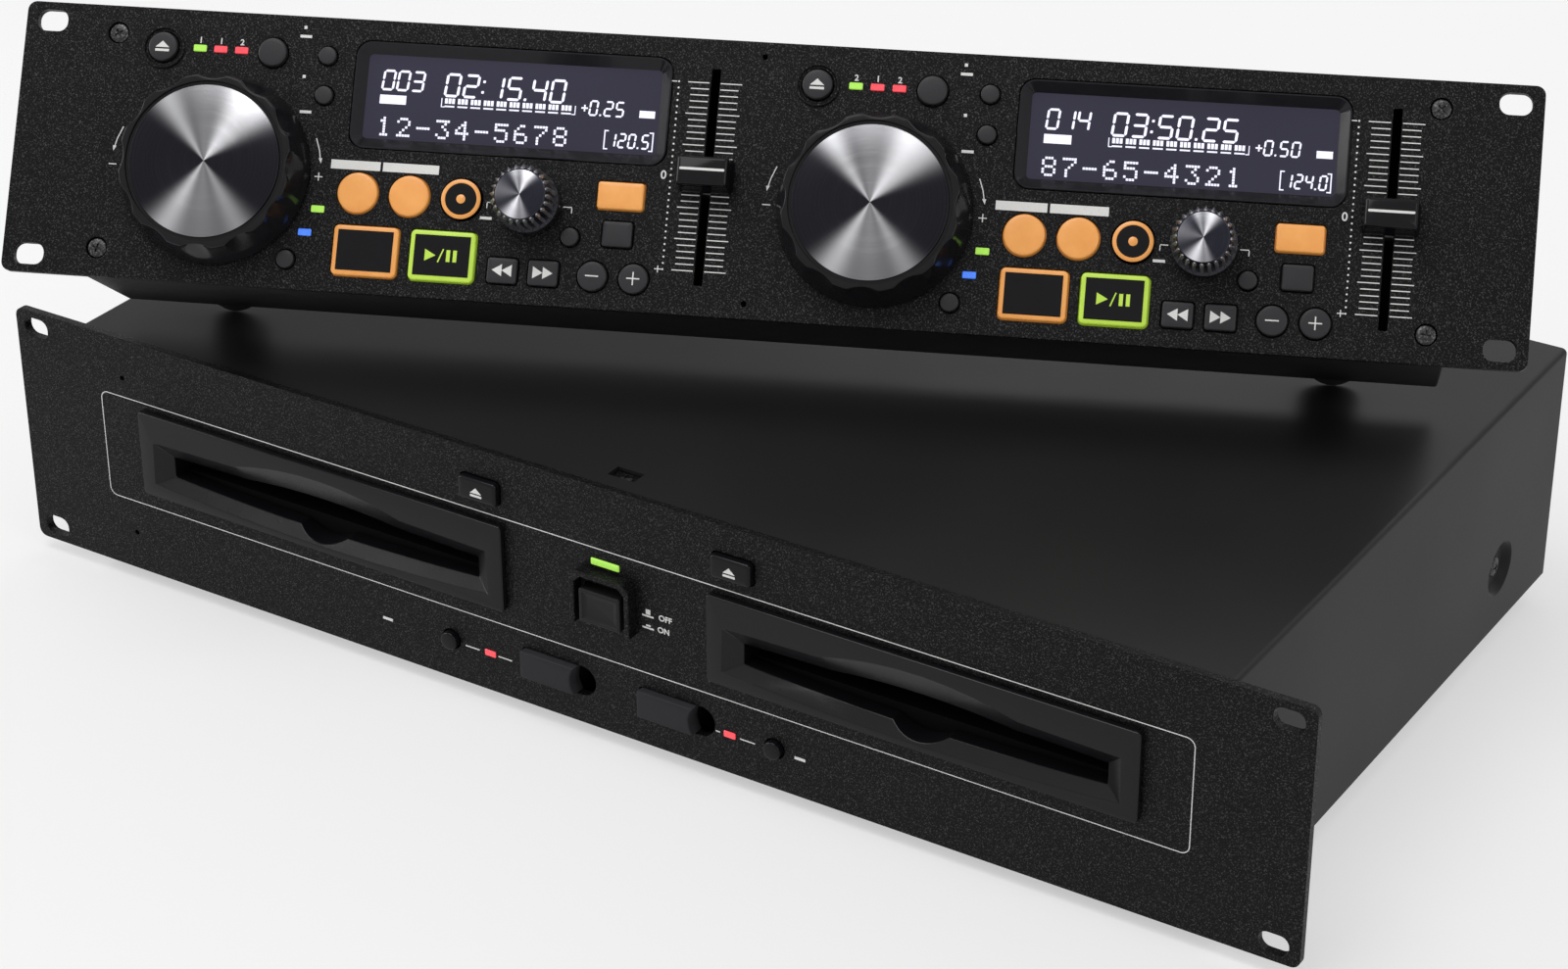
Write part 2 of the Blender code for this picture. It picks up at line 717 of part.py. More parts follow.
def usb_opening():
    """The cap's opening in the panel, with the round finger well at its right end."""
    left = -USB_CAP_WIDTH / 2 - KEY_CLEARANCE
    up = USB_CAP_HEIGHT / 2 + KEY_CLEARANCE
    middle = USB_CAP_WIDTH / 2 + USB_WELL - up
    corner = USB_CAP_CORNER + KEY_CLEARANCE
    end = arc(up, -math.pi / 2, math.pi / 2, WELL_STEPS, middle)
    upper = arc(corner, math.pi / 2, math.pi, CORNER_STEPS, left + corner, up - corner)
    lower = arc(corner, math.pi, 1.5 * math.pi, CORNER_STEPS, left + corner, -up + corner)
    return end + upper + lower


def usb_cap(name, frame, x):
    """A rubber cap that fills the opening and plugs into the socket behind."""
    place = (x, 0.0, USB_LEVEL)
    levels = [
        (usb_cap_outline(), PANEL_THICKNESS),
        (usb_cap_outline(), -USB_CAP_PROUD + KEY_EDGE),
        (usb_cap_outline(-KEY_EDGE), -USB_CAP_PROUD),
    ]
    cap = add_part(name, stack(name, levels), "cap_rubber", frame, place)
    tongue = rounded(USB_TONGUE_WIDTH, USB_TONGUE_HEIGHT, KEY_EDGE)
    reach = PANEL_THICKNESS + SEAT + USB_TONGUE_LENGTH
    tongue_levels = [(tongue, reach), (tongue, PANEL_THICKNESS - KEY_EDGE)]
    shape(cap, "UNION", stack(name + "_tongue", tongue_levels), place)
    return cap


def guard_outline():
    """The guard round the power key: two arms and a top bar with cut corners."""
    out, top, low = GUARD_WIDTH / 2, GUARD_TOP, GUARD_BOTTOM
    inner, roof = out - GUARD_WALL, top - GUARD_WALL
    cut = GUARD_CHAMFER
    return [
        (-out, low),
        (-inner, low),
        (-inner, roof - cut),
        (-inner + cut, roof),
        (inner - cut, roof),
        (inner, roof - cut),
        (inner, low),
        (out, low),
        (out, top - cut),
        (out - cut, top),
        (-out + cut, top),
        (-out, top - cut),
    ]


def player_panel(frame):
    holes = []
    slot = rounded(
        BEZEL_WIDTH - 2 * BEZEL_SIDE_LAP, BEZEL_HEIGHT - 2 * BEZEL_LONG_LAP, BEZEL_CORNER
    )
    stop_hole = circle(STOP_DIAMETER + 2 * KEY_CLEARANCE, SMALL_ROUND_STEPS)
    eject_hole = key_hole(PLAYER_EJECT_WIDTH, PLAYER_EJECT_HEIGHT, PLAYER_EJECT_CORNER)
    for side in SIDES:
        holes.append(moved(slot, side * SLOT_SHARE * PANEL_WIDTH, SLOT_LEVEL + BEZEL_RISE))
        holes.append(moved(eject_hole, side * PLAYER_EJECT_SHARE * PANEL_WIDTH, PLAYER_EJECT_LEVEL))
        holes.append(moved(stop_hole, side * STOP_SHARE * PANEL_WIDTH, STOP_LEVEL))
        holes.append(moved(usb_opening(), side * USB_SHARE * PANEL_WIDTH, USB_LEVEL))
    holes.append(moved(key_hole(POWER_WIDTH, POWER_HEIGHT, POWER_CORNER), 0.0, POWER_LEVEL))
    panel = rack_panel("player_panel", PLAYER_EAR, holes, frame)
    guard = prisms("power_guard", [guard_outline()], -GUARD_PROUD, PANEL_THICKNESS / 2)
    shape(panel, "UNION", guard)

    half = TAB_WINDOW_WIDTH / 2 + TAB_MARGIN
    tab_top = PLAYER_TOP - SHEET - SEAT
    tab_back = PLAYER_FRONT + TAB_WINDOW_INSET + TAB_WINDOW_DEPTH + TAB_MARGIN
    tab_low = (-half, PANEL_THICKNESS / 2, tab_top - TAB_THICKNESS)
    shape(panel, "UNION", box("cover_tab", tab_low, (half, tab_back, tab_top)))
    return panel


def dimple_places():
    """Depth of each screw dimple along the sides."""
    return (PLAYER_FRONT + DIMPLE_FRONT_INSET, PLAYER_REAR - DIMPLE_REAR_INSET)


def player_cover(frame):
    low = (-COVER_HALF_WIDTH, PLAYER_FRONT, PLAYER_LIFT)
    high = (COVER_HALF_WIDTH, PLAYER_REAR, PLAYER_TOP)
    open_sides = (Vector((0, 1, 0)), Vector((0, -1, 0)), Vector((0, 0, -1)))
    mesh = open_box("player_cover", low, high, open_sides)
    cover = add_part("player_cover", mesh, "cover_paint", frame)
    sheet_inside = COVER_HALF_WIDTH - SHEET
    dish_floor = COVER_HALF_WIDTH - DIMPLE_DEPTH
    dish_back = dish_floor - SHEET
    for side in SIDES:
        for depth in dimple_places():
            turn = (0.0, 0.0, -side * math.pi / 2)
            place = (0.0, depth, DIMPLE_LEVEL)
            cup = turned_disc("dimple_cup", DIMPLE_RADIUS + SHEET, dish_back, sheet_inside + SHEET / 2)
            shape(cover, "UNION", cup, place, turn)
            shape(cover, "DIFFERENCE", dish_mesh(), place, turn)
    window_low = (-TAB_WINDOW_WIDTH / 2, PLAYER_FRONT + TAB_WINDOW_INSET, PLAYER_TOP - SHEET - OVERRUN)
    window_back = PLAYER_FRONT + TAB_WINDOW_INSET + TAB_WINDOW_DEPTH
    window_high = (TAB_WINDOW_WIDTH / 2, window_back, PLAYER_TOP + OVERRUN)
    shape(cover, "DIFFERENCE", box("tab_window", window_low, window_high))
    return cover


def dish_mesh():
    """What a dimple takes out of a side: a dish, but for the head of the screw in it."""
    dish_floor = COVER_HALF_WIDTH - DIMPLE_DEPTH
    profile = [
        (0.0, COVER_HALF_WIDTH + OVERRUN),
        (DIMPLE_RADIUS, COVER_HALF_WIDTH + OVERRUN),
        (DIMPLE_RADIUS, dish_floor),
        (SCREW_RADIUS, dish_floor),
        (SCREW_RADIUS, dish_floor + SCREW_HEIGHT),
        (0.0, dish_floor + SCREW_HEIGHT),
    ]
    return turned("dimple_dish", profile, ROUND_STEPS - 2)


def turned_disc(name, radius, near, far, steps=ROUND_STEPS):
    """A disc about Y, from one depth to another."""
    return turned(name, [(0.0, far), (radius, far), (radius, near), (0.0, near)], steps)


def player_chassis(frame):
    low = (-CHASSIS_HALF_WIDTH, PLAYER_FRONT, PLAYER_LIFT)
    high = (CHASSIS_HALF_WIDTH, PLAYER_REAR, CHASSIS_TOP)
    open_sides = (Vector((0, -1, 0)), Vector((0, 0, 1)))
    mesh = open_box("player_chassis", low, high, open_sides)
    chassis = add_part("player_chassis", mesh, "chassis_steel", frame)

    for side in SIDES:
        for depth in dimple_places():
            reach = turned_disc(
                "dimple_hole",
                DIMPLE_RADIUS + SHEET + SEAT,
                CHASSIS_HALF_WIDTH - SHEET - OVERRUN,
                COVER_HALF_WIDTH,
            )
            turn = (0.0, 0.0, -side * math.pi / 2)
            shape(chassis, "DIFFERENCE", reach, (0.0, depth, DIMPLE_LEVEL), turn)
        foot_x = side * (CHASSIS_HALF_WIDTH - PLAYER_FOOT_INSET)
        for foot_y in (PLAYER_FRONT + PLAYER_FOOT_INSET, PLAYER_REAR - PLAYER_FOOT_INSET):
            foot = foot_mesh("player_foot", PLAYER_FOOT_HEIGHT)
            turn = (-math.pi / 2, 0.0, 0.0)
            shape(chassis, "UNION", foot, (foot_x, foot_y, PLAYER_LIFT), turn)
        usb_socket(chassis, side * USB_SHARE * PANEL_WIDTH)

    for share in JACK_PAIR_SHARES:
        for side in SIDES:
            spot = (share * 2 * CHASSIS_HALF_WIDTH, PLAYER_REAR, JACK_LEVEL + side * JACK_PITCH / 2)
            shape(chassis, "UNION", jack_mesh(), spot)
    for share in LINK_SHARES:
        link_socket(chassis, (share * 2 * CHASSIS_HALF_WIDTH, PLAYER_REAR, JACK_LEVEL))
    mains_inlet(chassis, (INLET_SHARE * 2 * CHASSIS_HALF_WIDTH, PLAYER_REAR, JACK_LEVEL))
    return chassis


def jack_mesh():
    """A phono jack with its blind bore."""
    profile = [
        (0.0, JACK_LENGTH - JACK_BORE_DEPTH),
        (JACK_BORE_RADIUS, JACK_LENGTH - JACK_BORE_DEPTH),
        (JACK_BORE_RADIUS, JACK_LENGTH),
        (JACK_RADIUS, JACK_LENGTH),
        (JACK_RADIUS, -SHEET / 2),
        (0.0, -SHEET / 2),
    ]
    return turned("jack", profile, SMALL_ROUND_STEPS)


def foot_mesh(name, length):
    """A rubber foot that stands out along Y from a wall, with a chamfered rim."""
    profile = [
        (0.0, length),
        (FOOT_RADIUS - FOOT_EDGE, length),
        (FOOT_RADIUS, length - FOOT_EDGE),
        (FOOT_RADIUS, -SHEET / 2),
        (0.0, -SHEET / 2),
    ]
    return turned(name, profile, FOOT_STEPS)


def usb_socket(chassis, x):
    """A socket on a post from the floor, behind its opening in the panel."""
    half = USB_SOCKET_WIDTH / 2
    top = USB_LEVEL + USB_TONGUE_HEIGHT / 2 + USB_SOCKET_WALL
    post_low = (x - half, KEY_SEAT, FLOOR - SHEET / 2)
    post_high = (x + half, KEY_SEAT + USB_SOCKET_DEPTH, top)
    shape(chassis, "UNION", box("usb_post", post_low, post_high))
    across = USB_TONGUE_WIDTH / 2 + SEAT
    up = USB_TONGUE_HEIGHT / 2 + SEAT
    port_low = (x - across, KEY_SEAT - OVERRUN, USB_LEVEL - up)
    port_back = KEY_SEAT + USB_TONGUE_LENGTH + SHEET
    shape(chassis, "DIFFERENCE", box("usb_port", port_low, (x + across, port_back, USB_LEVEL + up)))


def link_socket(wall, place):
    """A round socket for the lead between the two units: a cup through a hole in the wall."""
    middle = (LINK_RADIUS + LINK_RECESS_RADIUS) / 2
    hole = turned_disc("link_hole", middle, -SHEET - OVERRUN, OVERRUN, ROUND_STEPS - 2)
    shape(wall, "DIFFERENCE", hole, place)
    profile = [
        (0.0, -LINK_DEPTH + SHEET),
        (LINK_RECESS_RADIUS, -LINK_DEPTH + SHEET),
        (LINK_RECESS_RADIUS, LINK_PROUD),
        (LINK_RADIUS, LINK_PROUD),
        (LINK_RADIUS, -LINK_DEPTH),
        (0.0, -LINK_DEPTH),
    ]
    shape(wall, "UNION", turned("link_socket", profile), place)


def mains_inlet(wall, place):
    """An inlet block set into the rear wall, open to the back."""
    half, up = INLET_WIDTH / 2, INLET_HEIGHT / 2
    block = box("mains_inlet", (-half, -INLET_DEPTH, -up), (half, INLET_PROUD, up))
    shape(wall, "UNION", block, place)
    half, up = half - INLET_WALL, up - INLET_WALL
    pocket_low = (-half, -INLET_DEPTH + INLET_WALL, -up)
    pocket = box("mains_pocket", pocket_low, (half, INLET_PROUD + OVERRUN, up))
    shape(wall, "DIFFERENCE", pocket, place)


def build_player(frame):
    player_panel(frame)
    player_cover(frame)
    player_chassis(frame)
    eject = square_key(
        "player_eject",
        PLAYER_EJECT_WIDTH,
        PLAYER_EJECT_HEIGHT,
        PLAYER_EJECT_CORNER,
        PLAYER_EJECT_PROUD,
        PLAYER_EJECT_CROWN,
    )
    stop = round_key("usb_stop", STOP_DIAMETER, STOP_PROUD, SMALL_ROUND_STEPS)
    for number, side in enumerate(SIDES, start=1):
        slot_x = side * SLOT_SHARE * PANEL_WIDTH
        slot_bezel(f"slot_bezel_{number}", frame, slot_x)
        disc_drive(f"disc_drive_{number}", frame, slot_x)
        eject_place = (side * PLAYER_EJECT_SHARE * PANEL_WIDTH, 0.0, PLAYER_EJECT_LEVEL)
        add_part(f"player_eject_{number}", eject, "gloss_black", frame, eject_place)
        stop_place = (side * STOP_SHARE * PANEL_WIDTH, 0.0, STOP_LEVEL)
        add_part(f"usb_stop_{number}", stop, "gloss_black", frame, stop_place)
        usb_cap(f"usb_cap_{number}", frame, side * USB_SHARE * PANEL_WIDTH)
    power = square_key("power_button", POWER_WIDTH, POWER_HEIGHT, POWER_CORNER, POWER_PROUD)
    add_part("power_button", power, "key_plastic", frame, (0.0, 0.0, POWER_LEVEL))


# Control unit


def deck_place(deck_share, shares):
    """A place on a deck, in the panel's frame."""
    across, up = shares
    return (deck_share * PANEL_WIDTH + across * DECK_PITCH, up * PANEL_HEIGHT)


# Each key: its finish and its shape, which is a diameter, or a width, height and corner
ROUND_KEYS = {
    "eject_key": ("key_plastic", EJECT_DIAMETER, EJECT_PROUD, ROUND_STEPS),
    "source_key": ("key_plastic", SOURCE_DIAMETER, SOURCE_PROUD, ROUND_STEPS),
    "time_key": ("key_plastic", SMALL_DIAMETER, SMALL_PROUD, SMALL_ROUND_STEPS),
    "display_key": ("key_plastic", SMALL_DIAMETER, SMALL_PROUD, SMALL_ROUND_STEPS),
    "jog_mode_key": ("key_plastic", SMALL_DIAMETER, SMALL_PROUD, SMALL_ROUND_STEPS),
    "back_key": ("key_plastic", SMALL_DIAMETER, SMALL_PROUD, SMALL_ROUND_STEPS),
    "loop_in_key": ("amber_key", LOOP_DIAMETER, LOOP_PROUD, ROUND_STEPS),
    "loop_out_key": ("amber_key", LOOP_DIAMETER, LOOP_PROUD, ROUND_STEPS),
    "reloop_key": ("gloss_black", LOOP_DIAMETER, LOOP_PROUD, ROUND_STEPS),
    "bend_down_key": ("key_plastic", BEND_DIAMETER, BEND_PROUD, ROUND_STEPS),
    "bend_up_key": ("key_plastic", BEND_DIAMETER, BEND_PROUD, ROUND_STEPS),
}
TRANSPORT_SHAPE = (TRANSPORT_WIDTH, TRANSPORT_HEIGHT, TRANSPORT_CORNER)
LOCK_SHAPE = (LOCK_WIDTH, LOCK_HEIGHT, SQUARE_CORNER)
SQUARE_SHAPE = (SQUARE_WIDTH, SQUARE_HEIGHT, SQUARE_CORNER)
SQUARE_KEYS = {
    "cue_key": ("amber_key", TRANSPORT_SHAPE, TRANSPORT_PROUD),
    "play_key": ("green_key", TRANSPORT_SHAPE, TRANSPORT_PROUD),
    "tempo_lock_key": ("amber_key", LOCK_SHAPE, LOCK_PROUD),
    "tempo_range_key": ("key_plastic", SQUARE_SHAPE, SQUARE_PROUD),
    "search_back_key": ("key_plastic", SQUARE_SHAPE, SQUARE_PROUD),
    "search_on_key": ("key_plastic", SQUARE_SHAPE, SQUARE_PROUD),
}


def deck_holes(share):
    """The holes of one deck in the control panel, each turned a little so that none line up."""
    holes = []
    for number, (name, (_, diameter, _, steps)) in enumerate(ROUND_KEYS.items()):
        x, z = deck_place(share, KEY_PLACE_SHARES[name])
        turn = math.tau / steps * number / len(ROUND_KEYS)
        holes.append(moved(circle(diameter + 2 * KEY_CLEARANCE, steps, turn), x, z))
    for name, (_, sizes, _) in SQUARE_KEYS.items():
        x, z = deck_place(share, KEY_PLACE_SHARES[name])
        holes.append(moved(key_hole(*sizes), x, z))
    window = grown(DISPLAY_WIDTH, DISPLAY_HEIGHT, DISPLAY_CORNER, SEAT)
    holes.append(moved(window, *deck_place(share, DISPLAY_SHARES)))
    hub = circle(2 * (JOG_HUB_RADIUS + SPINDLE_CLEARANCE), SMALL_ROUND_STEPS)
    holes.append(moved(hub, *deck_place(share, JOG_SHARES)))
    shaft = circle(2 * (SHAFT_RADIUS + SPINDLE_CLEARANCE), SMALL_ROUND_STEPS)
    holes.append(moved(shaft, *deck_place(share, SELECTOR_SHARES)))
    slot_height = FADER_TRAVEL + FADER_LEVER_HEIGHT + 2 * FADER_END_ROOM
    slot = rounded(FADER_SLOT_WIDTH, slot_height, KEY_EDGE)
    holes.append(moved(slot, *deck_place(share, FADER_SHARES)))
    return holes


def control_panel(frame):
    pin = circle(PIN_HOLE_DIAMETER, SMALL_ROUND_STEPS)
    holes = [moved(pin, 0.0, level) for level in (PIN_HOLE_EDGE, PANEL_HEIGHT - PIN_HOLE_EDGE)]
    for share in DECK_SHARES:
        holes += deck_holes(share)
    panel = rack_panel("control_panel", CONTROL_EAR, holes, frame)
    for share in DECK_SHARES:
        x, z = deck_place(share, KEY_PLACE_SHARES["eject_key"])
        turn = (0.0, math.pi / ROUND_STEPS, 0.0)
        shape(panel, "UNION", eject_ring_mesh(), (x, 0.0, z), turn)
    return panel


def eject_ring_mesh():
    """A raised ring round an eject key, rooted in the panel."""
    outer = EJECT_RING_DIAMETER / 2
    inner = outer - EJECT_RING_WALL
    back = PANEL_THICKNESS / 2
    profile = [
        (inner, back),
        (outer, back),
        (outer, -EJECT_RING_PROUD),
        (inner, -EJECT_RING_PROUD),
        (inner, back),
    ]
    return turned("eject_ring", profile)


def control_case(frame):
    low = (-CASE_HALF_WIDTH, PANEL_THICKNESS + SEAT, CASE_MARGIN)
    high = (CASE_HALF_WIDTH, CASE_DEPTH, PANEL_HEIGHT - CASE_MARGIN)
    mesh = open_box("control_case", low, high, (Vector((0, -1, 0)),))
    case = add_part("control_case", mesh, "chassis_steel", frame)
    for side in SIDES:
        foot_x = side * CASE_FOOT_SHARE * CASE_HALF_WIDTH
        for foot_z in (CASE_MARGIN + FOOT_RADIUS, PANEL_HEIGHT - CASE_MARGIN - FOOT_RADIUS):
            foot = foot_mesh("case_foot", CASE_FOOT_LENGTH)
            shape(case, "UNION", foot, (foot_x, CASE_DEPTH, foot_z))
    for share in LINK_SHARES:
        link_socket(case, (share * 2 * CASE_HALF_WIDTH, CASE_DEPTH, PANEL_HEIGHT / 2))
    return case


def display_mesh():
    """A moulded frame whose sides slope down to the window."""
    width, height, corner = DISPLAY_WIDTH, DISPLAY_HEIGHT, DISPLAY_CORNER
    slope_edge = -DISPLAY_LIP_WIDTH
    floor_edge = slope_edge - DISPLAY_SLOPE
    levels = [
        (grown(width, height, corner, DISPLAY_LAP), DISPLAY_DEPTH),
        (grown(width, height, corner, DISPLAY_LAP), KEY_SEAT),
        (grown(width, height, corner, 0.0), KEY_SEAT),
        (grown(width, height, corner, 0.0), -DISPLAY_LIP),
        (grown(width, height, corner, slope_edge), -DISPLAY_LIP),
        (grown(width, height, corner, floor_edge), DISPLAY_SINK),
    ]
    return stack("display", levels)


def ring_points(radius_at, count):
    """A ring of points whose radius is a function of the point's number."""
    points = []
    for index in range(count):
        angle = math.tau * index / count
        radius = radius_at(index)
        points.append((radius * math.cos(angle), radius * math.sin(angle)))
    return points


def jog_wheel_mesh():
    """A wheel with finger scoops down its wall, a groove and a plate on top."""
    count = JOG_SCOOPS * JOG_STEPS_PER_SCOOP

    def scooped(radius, depth):
        def radius_at(index):
            from_middle = abs(math.remainder(index / JOG_STEPS_PER_SCOOP, 1))
            reach = from_middle / (JOG_SCOOP_SHARE / 2)
            return radius - depth * max(0.0, 1 - reach * reach)

        return ring_points(radius_at, count)

    wall_top = JOG_HEIGHT - JOG_EDGE
    scoop_foot = JOG_GAP + JOG_SCOOP_FOOT_SHARE * (JOG_HEIGHT - JOG_GAP)
    slope = (JOG_RADIUS - JOG_CREST_RADIUS) / (JOG_HEIGHT - JOG_GAP)
    foot_radius = JOG_RADIUS - slope * (scoop_foot - JOG_GAP)
    land_inner = JOG_CREST_RADIUS - JOG_LAND
    plate_radius = land_inner - JOG_GROOVE_WIDTH
    levels = [
        (scooped(JOG_RADIUS, 0.0), -JOG_GAP),
        (scooped(foot_radius, 0.0), -scoop_foot),
        (scooped(JOG_CREST_RADIUS + slope * JOG_EDGE, JOG_SCOOP_DEPTH), -wall_top),
        (scooped(JOG_CREST_RADIUS - JOG_EDGE, JOG_SCOOP_DEPTH - JOG_EDGE), -JOG_HEIGHT),
        (scooped(land_inner, 0.0), -JOG_HEIGHT),
        (scooped(land_inner - JOG_GROOVE_WIDTH / 2, 0.0), -JOG_HEIGHT + JOG_GROOVE_DEPTH),
        (scooped(plate_radius, 0.0), -JOG_HEIGHT + JOG_GROOVE_DEPTH / 4),
    ]
    return stack("jog_wheel", levels)


def hub_mesh():
    """The wheel's hub: through the panel, with a collar behind it."""
    back = KEY_SEAT + JOG_COLLAR_THICKNESS
    profile = [
        (0.0, back),
        (JOG_COLLAR_RADIUS, back),
        (JOG_COLLAR_RADIUS, KEY_SEAT),
        (JOG_HUB_RADIUS, KEY_SEAT),
        (JOG_HUB_RADIUS, -JOG_GAP - JOG_EDGE),
        (0.0, -JOG_GAP - JOG_EDGE),
    ]
    return turned("jog_hub", profile, SMALL_ROUND_STEPS)


def selector_shaft_mesh():
    """A shaft with a collar behind the panel, which ends inside the knob."""
    collar_back = KEY_SEAT + SHAFT_COLLAR_THICKNESS
    profile = [
        (0.0, collar_back + SHAFT_TAIL),
        (SHAFT_RADIUS, collar_back + SHAFT_TAIL),
        (SHAFT_RADIUS, collar_back),
        (SHAFT_COLLAR_RADIUS, collar_back),
        (SHAFT_COLLAR_RADIUS, KEY_SEAT),
        (SHAFT_RADIUS, KEY_SEAT),
        (SHAFT_RADIUS, -KNOB_HEIGHT + KNOB_CROWN + SEAT),
        (0.0, -KNOB_HEIGHT + KNOB_CROWN + SEAT),
    ]
    return turned("selector_shaft", profile, SMALL_ROUND_STEPS)


def selector_knob_mesh():
    """A knob with teeth round its wall, a flat face and a blind bore for its shaft."""
    count = 2 * KNOB_TEETH

    def toothed(radius, depth):
        return ring_points(lambda index: radius - depth * (index % 2), count)

    bore = SHAFT_RADIUS + SEAT
    tooth_top = KNOB_HEIGHT - KNOB_CHAMFER
    levels = [
        (toothed(bore, 0.0), -KNOB_HEIGHT + KNOB_CROWN),
        (toothed(bore, 0.0), -KNOB_GAP),
        (toothed(KNOB_RADIUS, 0.0), -KNOB_GAP),
        (toothed(KNOB_RADIUS - KEY_EDGE / 2, 0.0), -KNOB_GAP - KNOB_SKIRT),
        (toothed(KNOB_RADIUS - KEY_EDGE, KNOB_TOOTH_DEPTH), -tooth_top),
        (toothed(KNOB_FACE_RADIUS, 0.0), -KNOB_HEIGHT),
    ]
    return stack("selector_knob", levels)


def tempo_fader_mesh():
    """A fader: the carriage behind the panel, the lever through its slot, and the cap."""
    carriage = rounded(FADER_CARRIAGE_WIDTH, FADER_CARRIAGE_HEIGHT, KEY_EDGE)
    lever = rounded(FADER_LEVER_WIDTH, FADER_LEVER_HEIGHT, KEY_EDGE)
    width, height, corner = FADER_CAP_WIDTH, FADER_CAP_HEIGHT, FADER_CAP_CORNER
    shoulder = FADER_CAP_PROUD - FADER_CAP_EDGE
    top_margin = -FADER_CAP_TAPER - FADER_CAP_EDGE
    levels = [
        (carriage, KEY_SEAT + FADER_CARRIAGE_DEPTH),
        (carriage, KEY_SEAT),
        (lever, KEY_SEAT),
        (lever, -FADER_CAP_GAP),
        (grown(width, height, corner, -FADER_CAP_EDGE), -FADER_CAP_GAP),
        (grown(width, height, corner, 0.0), -FADER_CAP_GAP - FADER_CAP_EDGE),
        (grown(width, height, corner, -FADER_CAP_TAPER), -shoulder),
        (grown(width, height, corner, top_margin), -FADER_CAP_PROUD),
    ]
    return stack("tempo_fader", levels)


def build_control(frame):
    control_panel(frame)
    control_case(frame)
    keys = {}
    for name, (finish_name, diameter, proud, steps) in ROUND_KEYS.items():
        keys[name] = (finish_name, round_key(name, diameter, proud, steps))
    for name, (finish_name, sizes, proud) in SQUARE_KEYS.items():
        keys[name] = (finish_name, square_key(name, *sizes, proud))
    display = display_mesh()
    fader = tempo_fader_mesh()
    shaft = selector_shaft_mesh()
    knob = selector_knob_mesh()
    for number, share in enumerate(DECK_SHARES, start=1):
        for name, (finish_name, mesh) in keys.items():
            x, z = deck_place(share, KEY_PLACE_SHARES[name])
            add_part(f"{name}_{number}", mesh, finish_name, frame, (x, 0.0, z))
        x, z = deck_place(share, DISPLAY_SHARES)
        add_part(f"display_{number}", display, "display_glass", frame, (x, 0.0, z))
        x, z = deck_place(share, FADER_SHARES)
        add_part(f"tempo_fader_{number}", fader, "gloss_black", frame, (x, 0.0, z))
        x, z = deck_place(share, SELECTOR_SHARES)
        add_part(f"selector_shaft_{number}", shaft, "shaft_steel", frame, (x, 0.0, z))
        add_part(f"selector_knob_{number}", knob, "knob_plastic", frame, (x, 0.0, z))
        x, z = deck_place(share, JOG_SHARES)
        wheel = add_part(f"jog_wheel_{number}", jog_wheel_mesh(), "jog_plastic", frame, (x, 0.0, z))
        shape(wheel, "UNION", hub_mesh(), (x, 0.0, z))


def lean_control(frame):
    """Leans the control unit back until its lower feet touch the player's cover."""
    lean = math.radians(CONTROL_LEAN)
    reach = CASE_DEPTH + CASE_FOOT_LENGTH - FOOT_EDGE
    below = reach * math.sin(lean) - CASE_MARGIN * math.cos(lean)
    frame.location = (CONTROL_RIGHT, CONTROL_BACK, PLAYER_TOP + SEAT + below)
    frame.rotation_euler = (-lean, 0.0, math.radians(CONTROL_YAW))


def centre_on_floor(frame):
    """Moves the whole object so that it stands on the origin, the middle of its box."""
    bpy.context.view_layer.update()
    corners = []
    graph = bpy.context.evaluated_depsgraph_get()
    for item in PARTS.objects:
        if item.type == "MESH":
            solid = item.evaluated_get(graph)
            corners += [solid.matrix_world @ Vector(corner) for corner in solid.bound_box]
    low = [min(corner[axis] for corner in corners) for axis in range(3)]
    high = [max(corner[axis] for corner in corners) for axis in range(3)]
    frame.location = (-(low[0] + high[0]) / 2, -(low[1] + high[1]) / 2, -low[2])


player_frame = unit_frame("player_frame")
control_frame = unit_frame("control_frame", player_frame)
lean_control(control_frame)
build_player(player_frame)
build_control(control_frame)
centre_on_floor(player_frame)
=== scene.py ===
"""The finished look of a dual disc player for DJ use: a rack player with two slot drives, and its
control unit, which leans back on top. Lengths are in metres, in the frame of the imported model.
"""

import json
import math

import bmesh
import bpy
from mathutils import Matrix, Vector


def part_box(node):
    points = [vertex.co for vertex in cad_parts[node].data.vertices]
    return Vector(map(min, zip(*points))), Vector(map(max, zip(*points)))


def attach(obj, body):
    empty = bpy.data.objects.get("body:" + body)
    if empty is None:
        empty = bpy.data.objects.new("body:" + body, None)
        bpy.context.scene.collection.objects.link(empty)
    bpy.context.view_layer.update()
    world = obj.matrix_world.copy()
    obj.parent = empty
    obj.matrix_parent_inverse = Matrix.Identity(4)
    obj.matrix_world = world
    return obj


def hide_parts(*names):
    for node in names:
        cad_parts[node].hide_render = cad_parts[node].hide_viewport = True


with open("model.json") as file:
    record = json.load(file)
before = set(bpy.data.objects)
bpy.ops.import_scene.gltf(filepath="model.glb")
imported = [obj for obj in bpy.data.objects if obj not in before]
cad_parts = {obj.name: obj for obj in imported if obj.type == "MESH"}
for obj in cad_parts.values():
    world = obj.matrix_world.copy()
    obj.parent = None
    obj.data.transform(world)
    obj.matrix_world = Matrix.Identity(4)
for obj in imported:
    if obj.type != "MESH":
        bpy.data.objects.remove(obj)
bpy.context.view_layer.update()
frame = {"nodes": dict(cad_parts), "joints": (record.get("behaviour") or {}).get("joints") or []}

# The two panels' own frames: X to the right, Y back into the unit and Z up the panel, from the
# middle of the panel's lower front edge. Everything on a panel is placed in its frame. The control
# unit's frame comes from its jog wheels, whose hinges give two points on it and its outward axis.
GUARD_PROUD = 0.0043
DECKS = (1, 2)
DECK_MIDDLES = (-0.08002, 0.13214)
JOG_PLACE = (-0.09356, 0.0370)
joints = {joint["name"]: joint for joint in frame["joints"]}


